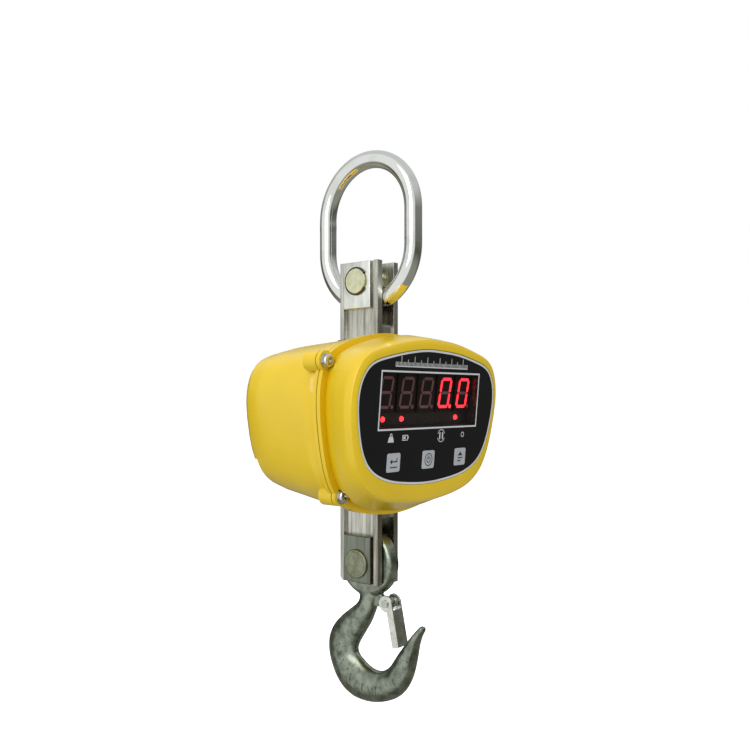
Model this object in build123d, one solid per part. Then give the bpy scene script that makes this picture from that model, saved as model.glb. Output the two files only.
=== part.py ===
from build123d import *
import os
from math import cos, radians, sin, sqrt, tan

# Hanging crane scale, in millimetres.
# Frame: +Z up, the display faces -Y, +X is to the right of somebody reading the display.
# Origin: the inner top of the lifting ring, where a crane hook carries the scale.

# ---- load path -------------------------------------------------------------------------------
RING_WIRE = 17.5            # diameter of the ring's bar
RING_HALF_WIDTH = 56.5      # bar centreline to the ring's middle
PIN_R = 12.5
UPPER_PIN_Z = -117.0
LOWER_PIN_Z = -400.0
RING_PIN_GAP = 0.3          # play between the ring's inner bottom and the upper pin

GAP = 18.5                  # between the two channel webs
CHANNEL_WIDTH = 50.0        # along Y
CHANNEL_DEPTH = 7.5         # along X
WEB = 3.5
FLANGE = 5.5
FRAME_TOP_Z = -97.0
FRAME_BOTTOM_Z = -420.0
UPPER_CHANNEL_END_Z = -230.0
LOWER_CHANNEL_END_Z = -286.0
CORNER_CHAMFER = 4.0

PAD_WIDTH = 35.0
PAD_THICK = 7.0             # stands proud of the flanges
PAD_HEIGHT = 47.0
PAD_INSET = 0.5              # pad edge inside the end of the channel
PIN_PROUD = 2.8             # pin end beyond the pad
CIRCLIP_THICK = 1.5
CIRCLIP_WIDTH = 2.6
CIRCLIP_MOUTH = 70.0        # opening angle in degrees

CELL_TOP_Z = -160.0
CELL_BOTTOM_Z = -357.0
CELL_WIDTH = 46.0
CELL_HOLE_R = 15.0
CELL_BOLT_R = 5.0
CELL_BOLTS_Z = (-200.0, -219.0, -297.0, -316.0)

# ---- hook ------------------------------------------------------------------------------------
EYE_R = 35.5
EYE_THICK = 16.5
EYE_ROUND = 6.5
HOOK_SIDE = 12.0            # half thickness of the body along X
BOWL = (-9.0, -84.0)        # saddle centre from the lower pin, along Y and Z
LATCH_PIVOT = (-27.5, -38.5)
LATCH_LENGTH = 43.0
LATCH_LEAN = 12.0           # degrees forward of straight down when shut
LATCH_PIN_R = 2.5
LATCH_SHEET = 1.8
LATCH_SIDE = 6.2            # inner face of each latch flange from the middle
LATCH_DEPTH = 8.0
BOSS_SIDE = 3.0             # half thickness of the latch boss
BOSS_R = 6.0
SPRING_WIRE = 1.2
SPRING_R = 4.1

# ---- housing ---------------------------------------------------------------------------------
HORIZON_Z = -233.0          # height that the housing outlines are measured from
SEAM_Y = -27.0
GASKET = 1.0
LIP = 4.0
REAR_WALL = 3.4
PANEL_TILT = 5.0            # degrees, the face looks slightly down
FRONT_Y = -80.0             # front rim plane at the horizon height
PANEL_RECESS = 1.5
REAR_Y = 88.0
BULGE_Y = 74.0              # rear face below the battery bulge
BULGE_BOTTOM = -62.0
FRAME_HOLE = (GAP + 2 * CHANNEL_DEPTH + 3.0, CHANNEL_WIDTH + 3.0)

# half outline of the shells: share of the half width, share of the height down from the top
OUTLINE_SHAPE = ((0.34, 0.018), (0.67, 0.068), (0.885, 0.138), (0.975, 0.25), (1.0, 0.39), (0.97, 0.57),
                 (0.92, 0.71), (0.82, 0.84), (0.64, 0.93), (0.33, 0.983))

SEAM_OUTLINE = (106.5, 63.0, -116.0)     # half width, top and bottom from the horizon
PANEL_OUTLINE = (110.0, 45.0, -84.0)

# housing sections: Y, tilt in degrees, half width, top and bottom from the horizon
COVER_OUTER = ((-29.0, 0.0, 97.5, 57.0, -110.5), (-42.0, 1.0, 106.0, 60.0, -111.5),
               (-54.0, 3.0, 111.5, 60.0, -109.0), (-68.0, 5.0, 116.0, 57.5, -104.5),
               (-74.5, 5.0, 117.5, 56.0, -102.5), (-78.5, 5.0, 116.3, 54.3, -100.5),
               (FRONT_Y, 5.0, 113.5, 51.0, -97.0))
COVER_INNER = ((-19.5, 0.0, 91.0, 50.0, -102.0), (-42.0, 1.0, 99.0, 54.0, -104.0),
               (-56.0, 3.0, 107.0, 55.5, -103.5), (-68.0, 5.0, 110.0, 53.0, -100.0),
               (FRONT_Y + 4.5, 5.0, 107.0, 49.0, -95.0))
REAR_OUTER = ((-25.0, 0.0, 97.5, 57.0, -110.5), (-12.0, 0.0, 103.0, 60.0, -113.0), (20.0, 0.0, 101.0, 58.0, -109.0),
              (60.0, 0.0, 98.5, 55.0, -102.0), (76.0, 0.0, 96.0, 52.5, -98.0), (84.0, 0.0, 91.0, 48.0, -92.0),
              (REAR_Y, 0.0, 82.0, 40.0, -84.0))
REAR_INNER = ((-34.5, 0.0, 91.0, 50.0, -102.0), (-10.0, 0.0, 99.2, 56.2, -108.7), (20.0, 0.0, 97.7, 54.7, -105.7),
              (60.0, 0.0, 94.8, 51.8, -98.8), (76.0, 0.0, 91.6, 48.6, -94.1),
              (REAR_Y - REAR_WALL, 0.0, 82.8, 40.8, -84.8))

COVER_SCREWS = ((98.0, 33.0), (77.0, -92.0))
EAR_R = 9.5
SCREW_R = 2.5
HEAD_R = 6.2

# ---- display ---------------------------------------------------------------------------------
WINDOW = (156.0, 51.0)
WINDOW_H = -3.3             # window centre above the horizon
DIGIT_PITCH = 31.1
DIGIT_BODY = (27.6, 37.0, 10.0)
DIGIT_H = 3.4
DIGIT_DEPTH = 8.0           # digit faces behind the panel
DIGIT_COUNT = 5
LAMPS_X = (-62.0, -34.0, 55.0)
LAMP_H = -21.5
KEY_XS = (-54.0, 0.0, 54.0)
KEY_H = -60.5
KEY_SIZE = (19.5, 17.5)
KEY_PLAY = 0.35
KEY_TRAVEL = 0.6
OVERLAY = 1.2
BOARD = 1.6
GROMMET_TOP_H = 44.0        # lowest height of each frame grommet
GROMMET_LOW_H = -111.0
GROMMET_HEIGHT = 14.0
BATTERY = (101.0, 47.0, 70.0)
BATTERY_POS = (0.0, 29.0, -48.0)         # lowest corner: middle X, front Y, bottom height

KEY_FRONT = -0.1            # key face before the rim plane
KEY_BACK = 6.6
KEY_BOARD_DEPTH = 11.0
MAIN_DEPTH = 34.0
STANDOFF_X = 84.0
STANDOFF_HS = (-31.0, 24.0)

# ---- inner fixings ---------------------------------------------------------------------------
RUNNING_FIT = 0.08
WASHER = 1.2
MOUNT_Y = 25.0              # mounting plate, on the rear of the channels
MOUNT_THICK = 3.0
MOUNT_H = 32.0
SCREW_REACH = 5.5           # thread length of the small screws in a post
POST_X = 50.0
FRAME_SCREW_X = 13.0
LUG_X = 60.0                # battery bracket lugs
LUG_H = -36.0
LUG_Y = 77.8
SOCKET_R = 8.0
SOCKET_H = -80.0


# ---- helpers ---------------------------------------------------------------------------------
def box(x, y, z):
    """A box from three (low, high) pairs."""
    size = (x[1] - x[0], y[1] - y[0], z[1] - z[0])
    centre = ((x[0] + x[1]) / 2, (y[0] + y[1]) / 2, (z[0] + z[1]) / 2)
    return Pos(*centre) * Box(*size)


def rod_x(radius, x0, x1, y, z):
    """A round bar along X."""
    return Pos((x0 + x1) / 2, y, z) * Rot(0, 90, 0) * Cylinder(radius, x1 - x0)


def rod_y(radius, y0, y1, x, z):
    """A round bar along Y."""
    return Pos(x, (y0 + y1) / 2, z) * Rot(90, 0, 0) * Cylinder(radius, y1 - y0)


def face_plane(y, tilt=0.0):
    """A plane that faces the front at y, leaning by tilt degrees, with its origin on the horizon."""
    lean = radians(tilt)
    return Plane(origin=(0, y, HORIZON_Z), x_dir=(1, 0, 0), z_dir=(0, -cos(lean), -sin(lean)))


def outline_wire(half_width, top, bottom, y, tilt=0.0):
    """The closed housing outline on a front-facing plane."""
    height = top - bottom
    right = [(share * half_width, top - drop * height) for share, drop in OUTLINE_SHAPE]
    left = [(-x, h) for x, h in reversed(right)]
    points = [(0, top)] + right + [(0, bottom)] + left
    plane = face_plane(y, tilt)
    edge = Spline(*[plane.from_local_coords(Vector(x, h, 0)) for x, h in points], periodic=True)
    return Wire([edge])


def outline_plate(half_width, top, bottom, y, depth, tilt=0.0):
    """A plate of the housing outline, from y towards the rear by depth."""
    face = Face(outline_wire(half_width, top, bottom, y, tilt))
    return extrude(face, amount=depth, dir=-face_plane(y, tilt).z_dir)


def outline_body(sections):
    """A body ruled through (y, tilt, half width, top, bottom) sections."""
    return loft([Face(outline_wire(w, t, b, y, tilt)) for y, tilt, w, t, b in sections], ruled=True)


def panel_box(x, h, depth):
    """A box in panel coordinates: x range, height range, depth range behind the front rim plane."""
    shape = box(x, h, (-depth[1], -depth[0]))
    return face_plane(FRONT_Y, PANEL_TILT).location * shape


def panel_rod(radius, x, h, depth):
    """A round bar square to the panel."""
    bar = Pos(x, h, -(depth[0] + depth[1]) / 2) * Cylinder(radius, depth[1] - depth[0])
    return face_plane(FRONT_Y, PANEL_TILT).location * bar


def both_sides(shape):
    """The shape and its mirror image across X = 0."""
    return [shape, mirror(shape, about=Plane.YZ)]


# ---- load path -------------------------------------------------------------------------------
def lifting_ring():
    """Oblong welded link in the YZ plane, its inner top at the origin."""
    radius = RING_WIRE / 2
    inner_bottom = UPPER_PIN_Z - PIN_R - RING_PIN_GAP
    top_z = radius - RING_HALF_WIDTH
    low_z = inner_bottom - radius + RING_HALF_WIDTH
    w = RING_HALF_WIDTH
    path = Wire([
        Edge.make_line((0, w, low_z), (0, w, top_z)),
        Edge.make_three_point_arc((0, w, top_z), (0, 0, top_z + w), (0, -w, top_z)),
        Edge.make_line((0, -w, top_z), (0, -w, low_z)),
        Edge.make_three_point_arc((0, -w, low_z), (0, 0, low_z - w), (0, w, low_z)),
    ])
    section = Plane(origin=(0, w, low_z), z_dir=(0, 0, 1)) * Circle(radius)
    return sweep(section, path=path)


def channel(side, z0, z1, pin_z):
    """A side channel, flanges outward; side is -1 for left and +1 for right."""
    inner = GAP / 2
    outer = inner + CHANNEL_DEPTH
    half = CHANNEL_WIDTH / 2
    bar = box((inner, outer), (-half, half), (z0, z1))
    bar = chamfer(bar.edges().filter_by(Axis.Z).group_by(Axis.X)[-1], 0.9)
    bar -= box((inner + WEB, outer + 1), (-half + FLANGE, half - FLANGE), (z0 - 1, z1 + 1))
    bar -= rod_x(PIN_R, inner - 1, outer + 1, 0, pin_z)
    bar -= [rod_x(CELL_BOLT_R, inner - 1, outer + 1, 0, bolt_z) for bolt_z in CELL_BOLTS_Z if z0 < bolt_z < z1]
    if z1 == FRAME_TOP_Z:
        bar -= rod_y(2.0, half - FLANGE - 1, half + 1, FRAME_SCREW_X, HORIZON_Z + MOUNT_H)
    if z0 == FRAME_BOTTOM_Z:
        corner = bar.edges().filter_by(Axis.X).group_by(Axis.Z)[0].sort_by(Axis.Y)[-1]
        bar = chamfer(corner, CORNER_CHAMFER)
    return bar if side > 0 else mirror(bar, about=Plane.YZ)


def pad(side, z0, z1, pin_z):
    """A thick pad that fills the channel round a pin."""
    low = GAP / 2 + WEB
    half = PAD_WIDTH / 2
    plate = box((low, low + PAD_THICK), (-half, half), (z0, z1))
    plate = chamfer(plate.edges().group_by(Axis.X)[-1], 0.8)
    plate -= rod_x(PIN_R, low - 1, low + PAD_THICK + 1, 0, pin_z)
    return plate if side > 0 else mirror(plate, about=Plane.YZ)


def pin(z, headed):
    """A load pin with a groove at each free end; a headed one has a low head on the left."""
    seat = GAP / 2 + WEB + PAD_THICK
    end = seat + PIN_PROUD
    bar = rod_x(PIN_R, -end, end, 0, z)
    bar = chamfer(bar.edges().filter_by(GeomType.CIRCLE), 0.7)
    sides = (1,) if headed else (-1, 1)
    for side in sides:
        x0, x1 = sorted((side * (seat + 0.1), side * (seat + 0.1 + CIRCLIP_THICK)))
        bar -= rod_x(PIN_R + 1, x0, x1, 0, z) - rod_x(PIN_R - 0.9, x0, x1, 0, z)
    if headed:
        head = rod_x(PIN_R + 2.0, -end + 0.3, -seat, 0, z)
        bar += fillet(head.edges().group_by(Axis.X)[0], 1.6)
    return bar


def circlip(side, z):
    """A circlip whose mouth faces the front."""
    seat = GAP / 2 + WEB + PAD_THICK + 0.1
    x0, x1 = sorted((side * seat, side * (seat + CIRCLIP_THICK)))
    ring = rod_x(PIN_R - 0.9 + CIRCLIP_WIDTH, x0, x1, 0, z) - rod_x(PIN_R - 0.9, x0, x1, 0, z)
    reach = 2 * PIN_R
    rise = reach * tan(radians(CIRCLIP_MOUTH / 2))
    mouth = Polygon((0, 0), (-reach, rise), (-reach, -rise), align=None)
    wedge = extrude(Plane(origin=(x0, 0, z), x_dir=(0, 1, 0), z_dir=(1, 0, 0)) * mouth, amount=CIRCLIP_THICK)
    return ring - wedge


def load_cell():
    """Plate load cell with a gauge hole in its middle and relief slots above and below it."""
    half = CELL_WIDTH / 2
    plate = box((-GAP / 2, GAP / 2), (-half, half), (CELL_BOTTOM_Z, CELL_TOP_Z))
    plate = chamfer(plate.edges().filter_by(Axis.X), 3.0)
    middle = (CELL_TOP_Z + CELL_BOTTOM_Z) / 2
    plate -= rod_x(CELL_HOLE_R, -GAP, GAP, 0, middle)
    for rise in (-1, 1):
        slot_z = middle + rise * (CELL_HOLE_R + 8)
        plate -= box((-GAP, GAP), (-half - 1, 4) if rise > 0 else (-4, half + 1), (slot_z - 1.5, slot_z + 1.5))
    for bolt_z in CELL_BOLTS_Z:
        plate -= rod_x(CELL_BOLT_R, -GAP, GAP, 0, bolt_z)
    return plate


def hexagon_x(across, x0, x1, y, z):
    """A hexagonal prism along X."""
    shape = RegularPolygon(across / sqrt(3), 6)
    return extrude(Plane(origin=(x0, y, z), x_dir=(0, 1, 0), z_dir=(1, 0, 0)) * shape, amount=x1 - x0)


def load_cell_bolts():
    """Four through bolts with hexagon heads on the left."""
    web = GAP / 2 + WEB
    bolts = []
    for z in CELL_BOLTS_Z:
        shank = rod_x(CELL_BOLT_R, -web, web + 10, 0, z)
        bolts.append(shank + hexagon_x(16.0, -web - 6.4, -web, 0, z))
    return bolts


def load_cell_nuts():
    """Four nuts on the right-hand ends of the bolts."""
    web = GAP / 2 + WEB
    return [hexagon_x(16.0, web, web + 8, 0, z) - rod_x(CELL_BOLT_R, web - 1, web + 9, 0, z)
            for z in CELL_BOLTS_Z]


def gauge_plugs():
    """Sealing plugs of the gauge hole, seated in both mouths of the hole."""
    middle = (CELL_TOP_Z + CELL_BOTTOM_Z) / 2
    plug = rod_x(CELL_HOLE_R, GAP / 2 - 2.5, GAP / 2, 0, middle)
    return both_sides(plug)


# ---- hook ------------------------------------------------------------------------------------
def hook_sections():
    """Body sections: centre (y, z) from the lower pin, half height in the plane, half thickness."""
    neck = [(0.0, -29.0, 14.5, 8.0), (0.0, -41.0, 10.8, 9.0), (6.0, -52.5, 12.0, 10.0), (18.5, -66.0, 15.5, 10.8)]
    bend = []
    for angle, inner, outer, side in ((-8, 25.0, 62.5, 0.92), (-45, 25.5, 66.0, 0.95), (-90, 25.5, 58.0, 1.0),
                                      (-132, 26.0, 54.5, 0.98)):
        middle = (inner + outer) / 2
        turn = radians(angle)
        centre = (BOWL[0] + middle * cos(turn), BOWL[1] + middle * sin(turn))
        bend.append((*centre, (outer - inner) / 2, side * HOOK_SIDE))
    nose = [(-49.0, -92.0, 11.0, 10.2), (-56.5, -75.5, 6.8, 8.2), (-62.8, -64.3, 4.4, 6.0), (-67.3, -58.5, 3.6, 4.6)]
    return neck + bend + nose


def hook_body():
    """The forged body: ellipses square to its run along the neck, bowl and nose, lofted smooth."""
    sections = hook_sections()
    last = len(sections) - 1
    faces = []
    for i, (y, z, half_plane, half_side) in enumerate(sections):
        before = sections[max(i - 1, 0)]
        after = sections[min(i + 1, last)]
        run = (after[0] - before[0], after[1] - before[1])
        plane = Plane(origin=(0, y, LOWER_PIN_Z + z), x_dir=(1, 0, 0), z_dir=(0, run[0], run[1]))
        faces.append(plane * Ellipse(half_side, half_plane))
    return loft(faces)


def hook():
    """Forged eye hook with a boss for the latch."""
    bore = rod_x(PIN_R + RUNNING_FIT, -EYE_THICK, EYE_THICK, 0, LOWER_PIN_Z)
    eye = rod_x(EYE_R, -EYE_THICK / 2, EYE_THICK / 2, 0, LOWER_PIN_Z)
    eye = fillet(eye.edges().filter_by(GeomType.CIRCLE), EYE_ROUND)
    tip_y, tip_z, tip_r, tip_side = hook_sections()[-1]
    nose = Pos(0, tip_y, LOWER_PIN_Z + tip_z) * scale(Sphere(tip_r), by=(tip_side / tip_r, 1, 1))
    pivot_y, pivot_z = LATCH_PIVOT[0], LOWER_PIN_Z + LATCH_PIVOT[1]
    boss = rod_x(BOSS_R, -BOSS_SIDE, BOSS_SIDE, pivot_y, pivot_z)
    boss += box((-BOSS_SIDE, BOSS_SIDE), (pivot_y, 0), (pivot_z - BOSS_R, pivot_z + BOSS_R))
    boss -= rod_x(LATCH_PIN_R, -EYE_THICK, EYE_THICK, pivot_y, pivot_z)
    return hook_body() + (eye - bore) + nose + boss


def at_latch(shape):
    """Move a shape from the latch's own frame, pivot at the origin and pointing down, into place."""
    return Pos(0, LATCH_PIVOT[0], LOWER_PIN_Z + LATCH_PIVOT[1]) * Rot(-LATCH_LEAN, 0, 0) * shape


def latch():
    """Stamped latch: two flanges with round ears, joined by a web on the front side."""
    outer = LATCH_SIDE + LATCH_SHEET
    ears = rod_x(LATCH_DEPTH, -outer, outer, 0, 0)
    ears += box((-outer, outer), (-LATCH_DEPTH, 0), (-LATCH_LENGTH, 0))
    ears -= box((-LATCH_SIDE, LATCH_SIDE), (-LATCH_DEPTH + LATCH_SHEET, 20), (-LATCH_LENGTH - 1, 20))
    ears -= box((-LATCH_SIDE, LATCH_SIDE), (-20, 20), (-LATCH_DEPTH + 1, 20))
    ears -= rod_x(LATCH_PIN_R + RUNNING_FIT, -20, 20, 0, 0)
    return at_latch(ears)


def latch_pin():
    """Riveted pin with a low head on each side."""
    end = LATCH_SIDE + LATCH_SHEET + 0.3
    shaft = rod_x(LATCH_PIN_R, -end, end, 0, 0)
    for side in (-1, 1):
        x0, x1 = sorted((side * end, side * (end + 1.3)))
        shaft += rod_x(LATCH_PIN_R + 1.3, x0, x1, 0, 0)
    return at_latch(shaft)


def latch_spring():
    """Two coils of a double torsion spring on the pin, one each side of the boss."""
    coils = []
    length = LATCH_SIDE - BOSS_SIDE - SPRING_WIRE - 0.6
    for start in (BOSS_SIDE + 0.3 + SPRING_WIRE / 2, -BOSS_SIDE - 0.3 - SPRING_WIRE / 2 - length):
        path = Helix(pitch=SPRING_WIRE + 0.1, height=length, radius=SPRING_R)
        coil = sweep(Plane(origin=path @ 0, z_dir=path % 0) * Circle(SPRING_WIRE / 2), path=path)
        coils.append(at_latch(Pos(start, 0, 0) * Rot(0, 90, 0) * coil))
    return coils


# ---- housing ---------------------------------------------------------------------------------
def seam_side(rear):
    """The Y range of the rear or the front lip at the seam."""
    half = GASKET / 2
    return (SEAM_Y + half, SEAM_Y + half + LIP) if rear else (SEAM_Y - half - LIP, SEAM_Y - half)


def screw_rods(radius, y0, y1):
    """One round bar along Y at each of the four cover screws."""
    places = [(side * x, HORIZON_Z + h) for x, h in COVER_SCREWS for side in (-1, 1)]
    return [rod_y(radius, y0, y1, x, z) for x, z in places]


def front_cover():
    """Front shell with the tilted face, the panel recess, the window and the key holes."""
    y0, y1 = seam_side(rear=False)
    shell = outline_body(COVER_OUTER)
    shell += [outline_body([(y0, 0.0, *SEAM_OUTLINE), (y1, 0.0, *SEAM_OUTLINE)])]
    cavity = outline_body(COVER_INNER)
    w, t, b = PANEL_OUTLINE
    recess = outline_plate(w + 0.3, t + 0.3, b - 0.3, FRONT_Y - 2, 2 + PANEL_RECESS, PANEL_TILT)
    shell -= [cavity, recess, window_block(0.0, -5, 20), *key_blocks(KEY_PLAY, -5, 20),
              *screw_rods(HEAD_R + 1.6, y0 - 11.0, y0)]
    shell += screw_rods(EAR_R, y0, y1)
    return shell - screw_rods(SCREW_R + 0.3, y0 - 5, y1 + 1)


def window_block(play, d0, d1):
    """The display window as a solid, larger than the lens by play, over a depth range."""
    half = WINDOW[0] / 2 + play
    rise = WINDOW[1] / 2 + play
    return panel_box((-half, half), (WINDOW_H - rise, WINDOW_H + rise), (d0, d1))


def key_block(x, play, d0, d1):
    """A key's rounded outline as a solid over a depth range."""
    shape = RectangleRounded(KEY_SIZE[0] + 2 * play, KEY_SIZE[1] + 2 * play, 2.2)
    solid = extrude(Plane((x, KEY_H, -d1)) * shape, amount=d1 - d0)
    return face_plane(FRONT_Y, PANEL_TILT).location * solid


def key_blocks(play, d0, d1):
    """All key outlines."""
    return [key_block(x, play, d0, d1) for x in KEY_XS]


def rear_housing():
    """Deep rear shell with the battery bulge, the frame notch and its inner posts."""
    y0, y1 = seam_side(rear=True)
    shell = outline_body(REAR_OUTER)
    shell -= box((-130, 130), (BULGE_Y, 130), (HORIZON_Z - 130, HORIZON_Z + BULGE_BOTTOM))
    shell += [outline_body([(y0, 0.0, *SEAM_OUTLINE), (y1, 0.0, *SEAM_OUTLINE)]), *screw_rods(EAR_R, y0, y1 + 12)]
    cavity = outline_body(REAR_INNER)
    bulge_floor = HORIZON_Z + BULGE_BOTTOM + REAR_WALL
    cavity -= box((-130, 130), (BULGE_Y - REAR_WALL, 130), (HORIZON_Z - 130, bulge_floor))
    half_x, half_y = FRAME_HOLE[0] / 2, FRAME_HOLE[1] / 2
    notch = box((-half_x, half_x), (-half_y - 5, half_y), (HORIZON_Z - 130, HORIZON_Z + 90))
    socket_hole = rod_y(SOCKET_R, BULGE_Y - 10, BULGE_Y + 2, 0, HORIZON_Z + SOCKET_H)
    shell -= [cavity, notch, socket_hole, *screw_rods(SCREW_R, y0 - 1, y1 + 10)]
    return shell + housing_posts()


def housing_posts():
    """Tapped posts on the rear wall for the mounting plate and the battery bracket."""
    posts = []
    for x, h, y0, radius in ((POST_X, MOUNT_H, MOUNT_Y + MOUNT_THICK, 4.5), (LUG_X, LUG_H, LUG_Y, 4.0)):
        for side in (-1, 1):
            z = HORIZON_Z + h
            posts.append(rod_y(radius, y0, REAR_Y - 2, side * x, z) - rod_y(2.0, y0 - 1, y0 + SCREW_REACH, side * x, z))
    return posts


def housing_gasket():
    """Flat seal between the two shells."""
    w, t, b = SEAM_OUTLINE
    y = SEAM_Y - GASKET / 2
    seal = outline_plate(w - 1.0, t - 1.0, b + 1.0, y, GASKET) - outline_plate(93.0, 52.0, -104.0, y, GASKET)
    return seal - screw_rods(SCREW_R + 0.3, y - 1, y + GASKET + 1)


def cover_screws():
    """Four pan-head screws that hold the front cover."""
    y0 = seam_side(rear=False)[0] - WASHER
    screws = []
    for x, h in COVER_SCREWS:
        for side in (-1, 1):
            z = HORIZON_Z + h
            head = rod_y(HEAD_R, y0 - 4.2, y0, side * x, z)
            head = fillet(head.edges().group_by(Axis.Y)[0], 2.2)
            head -= rod_y(2.4, y0 - 5, y0 - 2.2, side * x, z)
            screws.append(head + rod_y(SCREW_R, y0, seam_side(rear=True)[1] + 9, side * x, z))
    return screws


def cover_washers():
    """Four plain washers under the cover screws."""
    y1 = seam_side(rear=False)[0]
    return [rod_y(HEAD_R + 1.4, y1 - WASHER, y1, side * x, HORIZON_Z + h)
            - rod_y(SCREW_R, y1 - 5, y1 + 1, side * x, HORIZON_Z + h)
            for x, h in COVER_SCREWS for side in (-1, 1)]


def grommet(side):
    """Rubber collar between the frame and the housing; side is +1 at the top and -1 at the bottom."""
    hole_x, hole_y = FRAME_HOLE[0] / 2 - 0.1, FRAME_HOLE[1] / 2 - 0.1
    low = HORIZON_Z + (GROMMET_TOP_H if side > 0 else GROMMET_LOW_H)
    high = low + GROMMET_HEIGHT
    lip = (low, low + 3) if side > 0 else (high - 3, high)
    ring = box((-hole_x, hole_x), (-hole_y, hole_y), (low, high))
    ring += box((-hole_x - 4, hole_x + 4), (-hole_y - 2, hole_y + 3), lip)
    frame_x, frame_y = GAP / 2 + CHANNEL_DEPTH, CHANNEL_WIDTH / 2
    return ring - box((-frame_x, frame_x), (-frame_y, frame_y), (low - 1, high + 1))


def mounting_plate():
    """Steel plate that carries the housing on the rear of the upper channels."""
    y1 = MOUNT_Y + MOUNT_THICK
    z = HORIZON_Z + MOUNT_H
    plate = box((-POST_X - 7, POST_X + 7), (MOUNT_Y, y1), (z - 8, z + 8))
    for x in (-POST_X, -FRAME_SCREW_X, FRAME_SCREW_X, POST_X):
        plate -= rod_y(2.0, MOUNT_Y - 1, y1 + 1, x, z)
    return plate


def mounting_screws():
    """Two screws into the channels from behind and two into the housing posts from the front."""
    z = HORIZON_Z + MOUNT_H
    y1 = MOUNT_Y + MOUNT_THICK
    screws = []
    for side in (-1, 1):
        x = side * FRAME_SCREW_X
        screws.append(rod_y(2.0, MOUNT_Y - FLANGE, y1, x, z) + rod_y(3.6, y1, y1 + 2.6, x, z))
        x = side * POST_X
        screws.append(rod_y(2.0, MOUNT_Y, y1 + SCREW_REACH, x, z) + rod_y(3.6, MOUNT_Y - 2.6, MOUNT_Y, x, z))
    return screws


def battery():
    """Sealed rechargeable battery with two terminals."""
    x, y, z = BATTERY
    _, y0, h0 = BATTERY_POS
    z0 = HORIZON_Z + h0
    block = box((-x / 2, x / 2), (y0, y0 + y), (z0, z0 + z))
    block = fillet(block.edges().filter_by(Axis.Z), 2.0)
    for side in (-1, 1):
        block += box((side * 36 - 3, side * 36 + 3), (y0 + 8, y0 + 10), (z0 + z, z0 + z + 5))
    return block


def battery_bracket():
    """Folded tray that holds the battery, with two lugs screwed to the housing."""
    x, y, _ = BATTERY
    _, y0, h0 = BATTERY_POS
    z0 = HORIZON_Z + h0
    sheet = LUG_Y - (y0 + y) - 0.1
    play = 0.1
    outer = box((-x / 2 - play - sheet, x / 2 + play + sheet), (y0 - play - sheet, LUG_Y), (z0 - sheet, z0 + 26))
    tray = outer - box((-x / 2 - play, x / 2 + play), (y0 - play, y0 + y + play), (z0, z0 + 30))
    for side in (-1, 1):
        x0, x1 = sorted((side * (x / 2 + 1), side * (LUG_X + 6)))
        z = HORIZON_Z + LUG_H
        tray += box((x0, x1), (LUG_Y - sheet, LUG_Y), (z - 6, z + 6))
        tray -= rod_y(2.0, LUG_Y - 5, LUG_Y + 1, side * LUG_X, z)
    return tray


def bracket_screws():
    """Two screws that hold the battery bracket."""
    sheet = LUG_Y - (BATTERY_POS[1] + BATTERY[1]) - 0.1
    y0 = LUG_Y - sheet
    z = HORIZON_Z + LUG_H
    return [rod_y(2.0, y0, LUG_Y + SCREW_REACH, side * LUG_X, z) + rod_y(3.6, y0 - 2.6, y0, side * LUG_X, z)
            for side in (-1, 1)]


def charge_socket():
    """Round charging socket in the lower rear face."""
    z = HORIZON_Z + SOCKET_H
    body = rod_y(SOCKET_R, BULGE_Y - 14, BULGE_Y, 0, z) + rod_y(SOCKET_R + 3, BULGE_Y, BULGE_Y + 2, 0, z)
    return body - rod_y(3.2, BULGE_Y - 8, BULGE_Y + 3, 0, z)


def socket_cap():
    """Rubber cap over the charging socket, with its plug."""
    z = HORIZON_Z + SOCKET_H
    cap = rod_y(SOCKET_R + 2, BULGE_Y + 2, BULGE_Y + 5.5, 0, z)
    cap = fillet(cap.edges().group_by(Axis.Y)[-1], 1.4)
    return cap + rod_y(3.1, BULGE_Y - 5, BULGE_Y + 2, 0, z)


# ---- display and controls --------------------------------------------------------------------
def panel_overlay():
    """Black overlay sheet in the cover's recess."""
    front = FRONT_Y + PANEL_RECESS - OVERLAY
    sheet = outline_plate(*PANEL_OUTLINE, front, OVERLAY, PANEL_TILT)
    sheet -= window_block(0.0, -5, 20)
    return sheet - key_blocks(KEY_PLAY, -5, 20)


def display_lens():
    """Clear window in the overlay's opening."""
    return window_block(-0.1, PANEL_RECESS - OVERLAY + 0.2, PANEL_RECESS - OVERLAY + 2.2)


def digit(index):
    """A seven-segment digit module; index counts from the left."""
    x = (index - (DIGIT_COUNT - 1) / 2) * DIGIT_PITCH
    w, h, d = DIGIT_BODY
    return panel_box((x - w / 2, x + w / 2), (DIGIT_H - h / 2, DIGIT_H + h / 2), (DIGIT_DEPTH, DIGIT_DEPTH + d))


def indicator_lamps():
    """Three round indicator lamps under the digits."""
    back = DIGIT_DEPTH + DIGIT_BODY[2]
    lamps = []
    for x in LAMPS_X:
        lamps.append(panel_rod(2.0, x, LAMP_H, (DIGIT_DEPTH + 1, back)) + panel_rod(2.6, x, LAMP_H, (back - 1.2, back)))
    return lamps


def display_board():
    """Circuit board behind the digits."""
    back = DIGIT_DEPTH + DIGIT_BODY[2]
    board = panel_box((-90, 90), (-37, 30), (back, back + BOARD))
    for x in (-STANDOFF_X, STANDOFF_X):
        for h in STANDOFF_HS:
            board -= panel_rod(1.6, x, h, (back - 1, back + 3))
    return board


def display_standoffs():
    """Four hexagonal standoffs between the cover and the display board."""
    back = DIGIT_DEPTH + DIGIT_BODY[2]
    place = face_plane(FRONT_Y, PANEL_TILT).location
    return [place * extrude(Plane((x, h, -back)) * RegularPolygon(3.2, 6), amount=back - 4.5)
            for x in (-STANDOFF_X, STANDOFF_X) for h in STANDOFF_HS]


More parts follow.
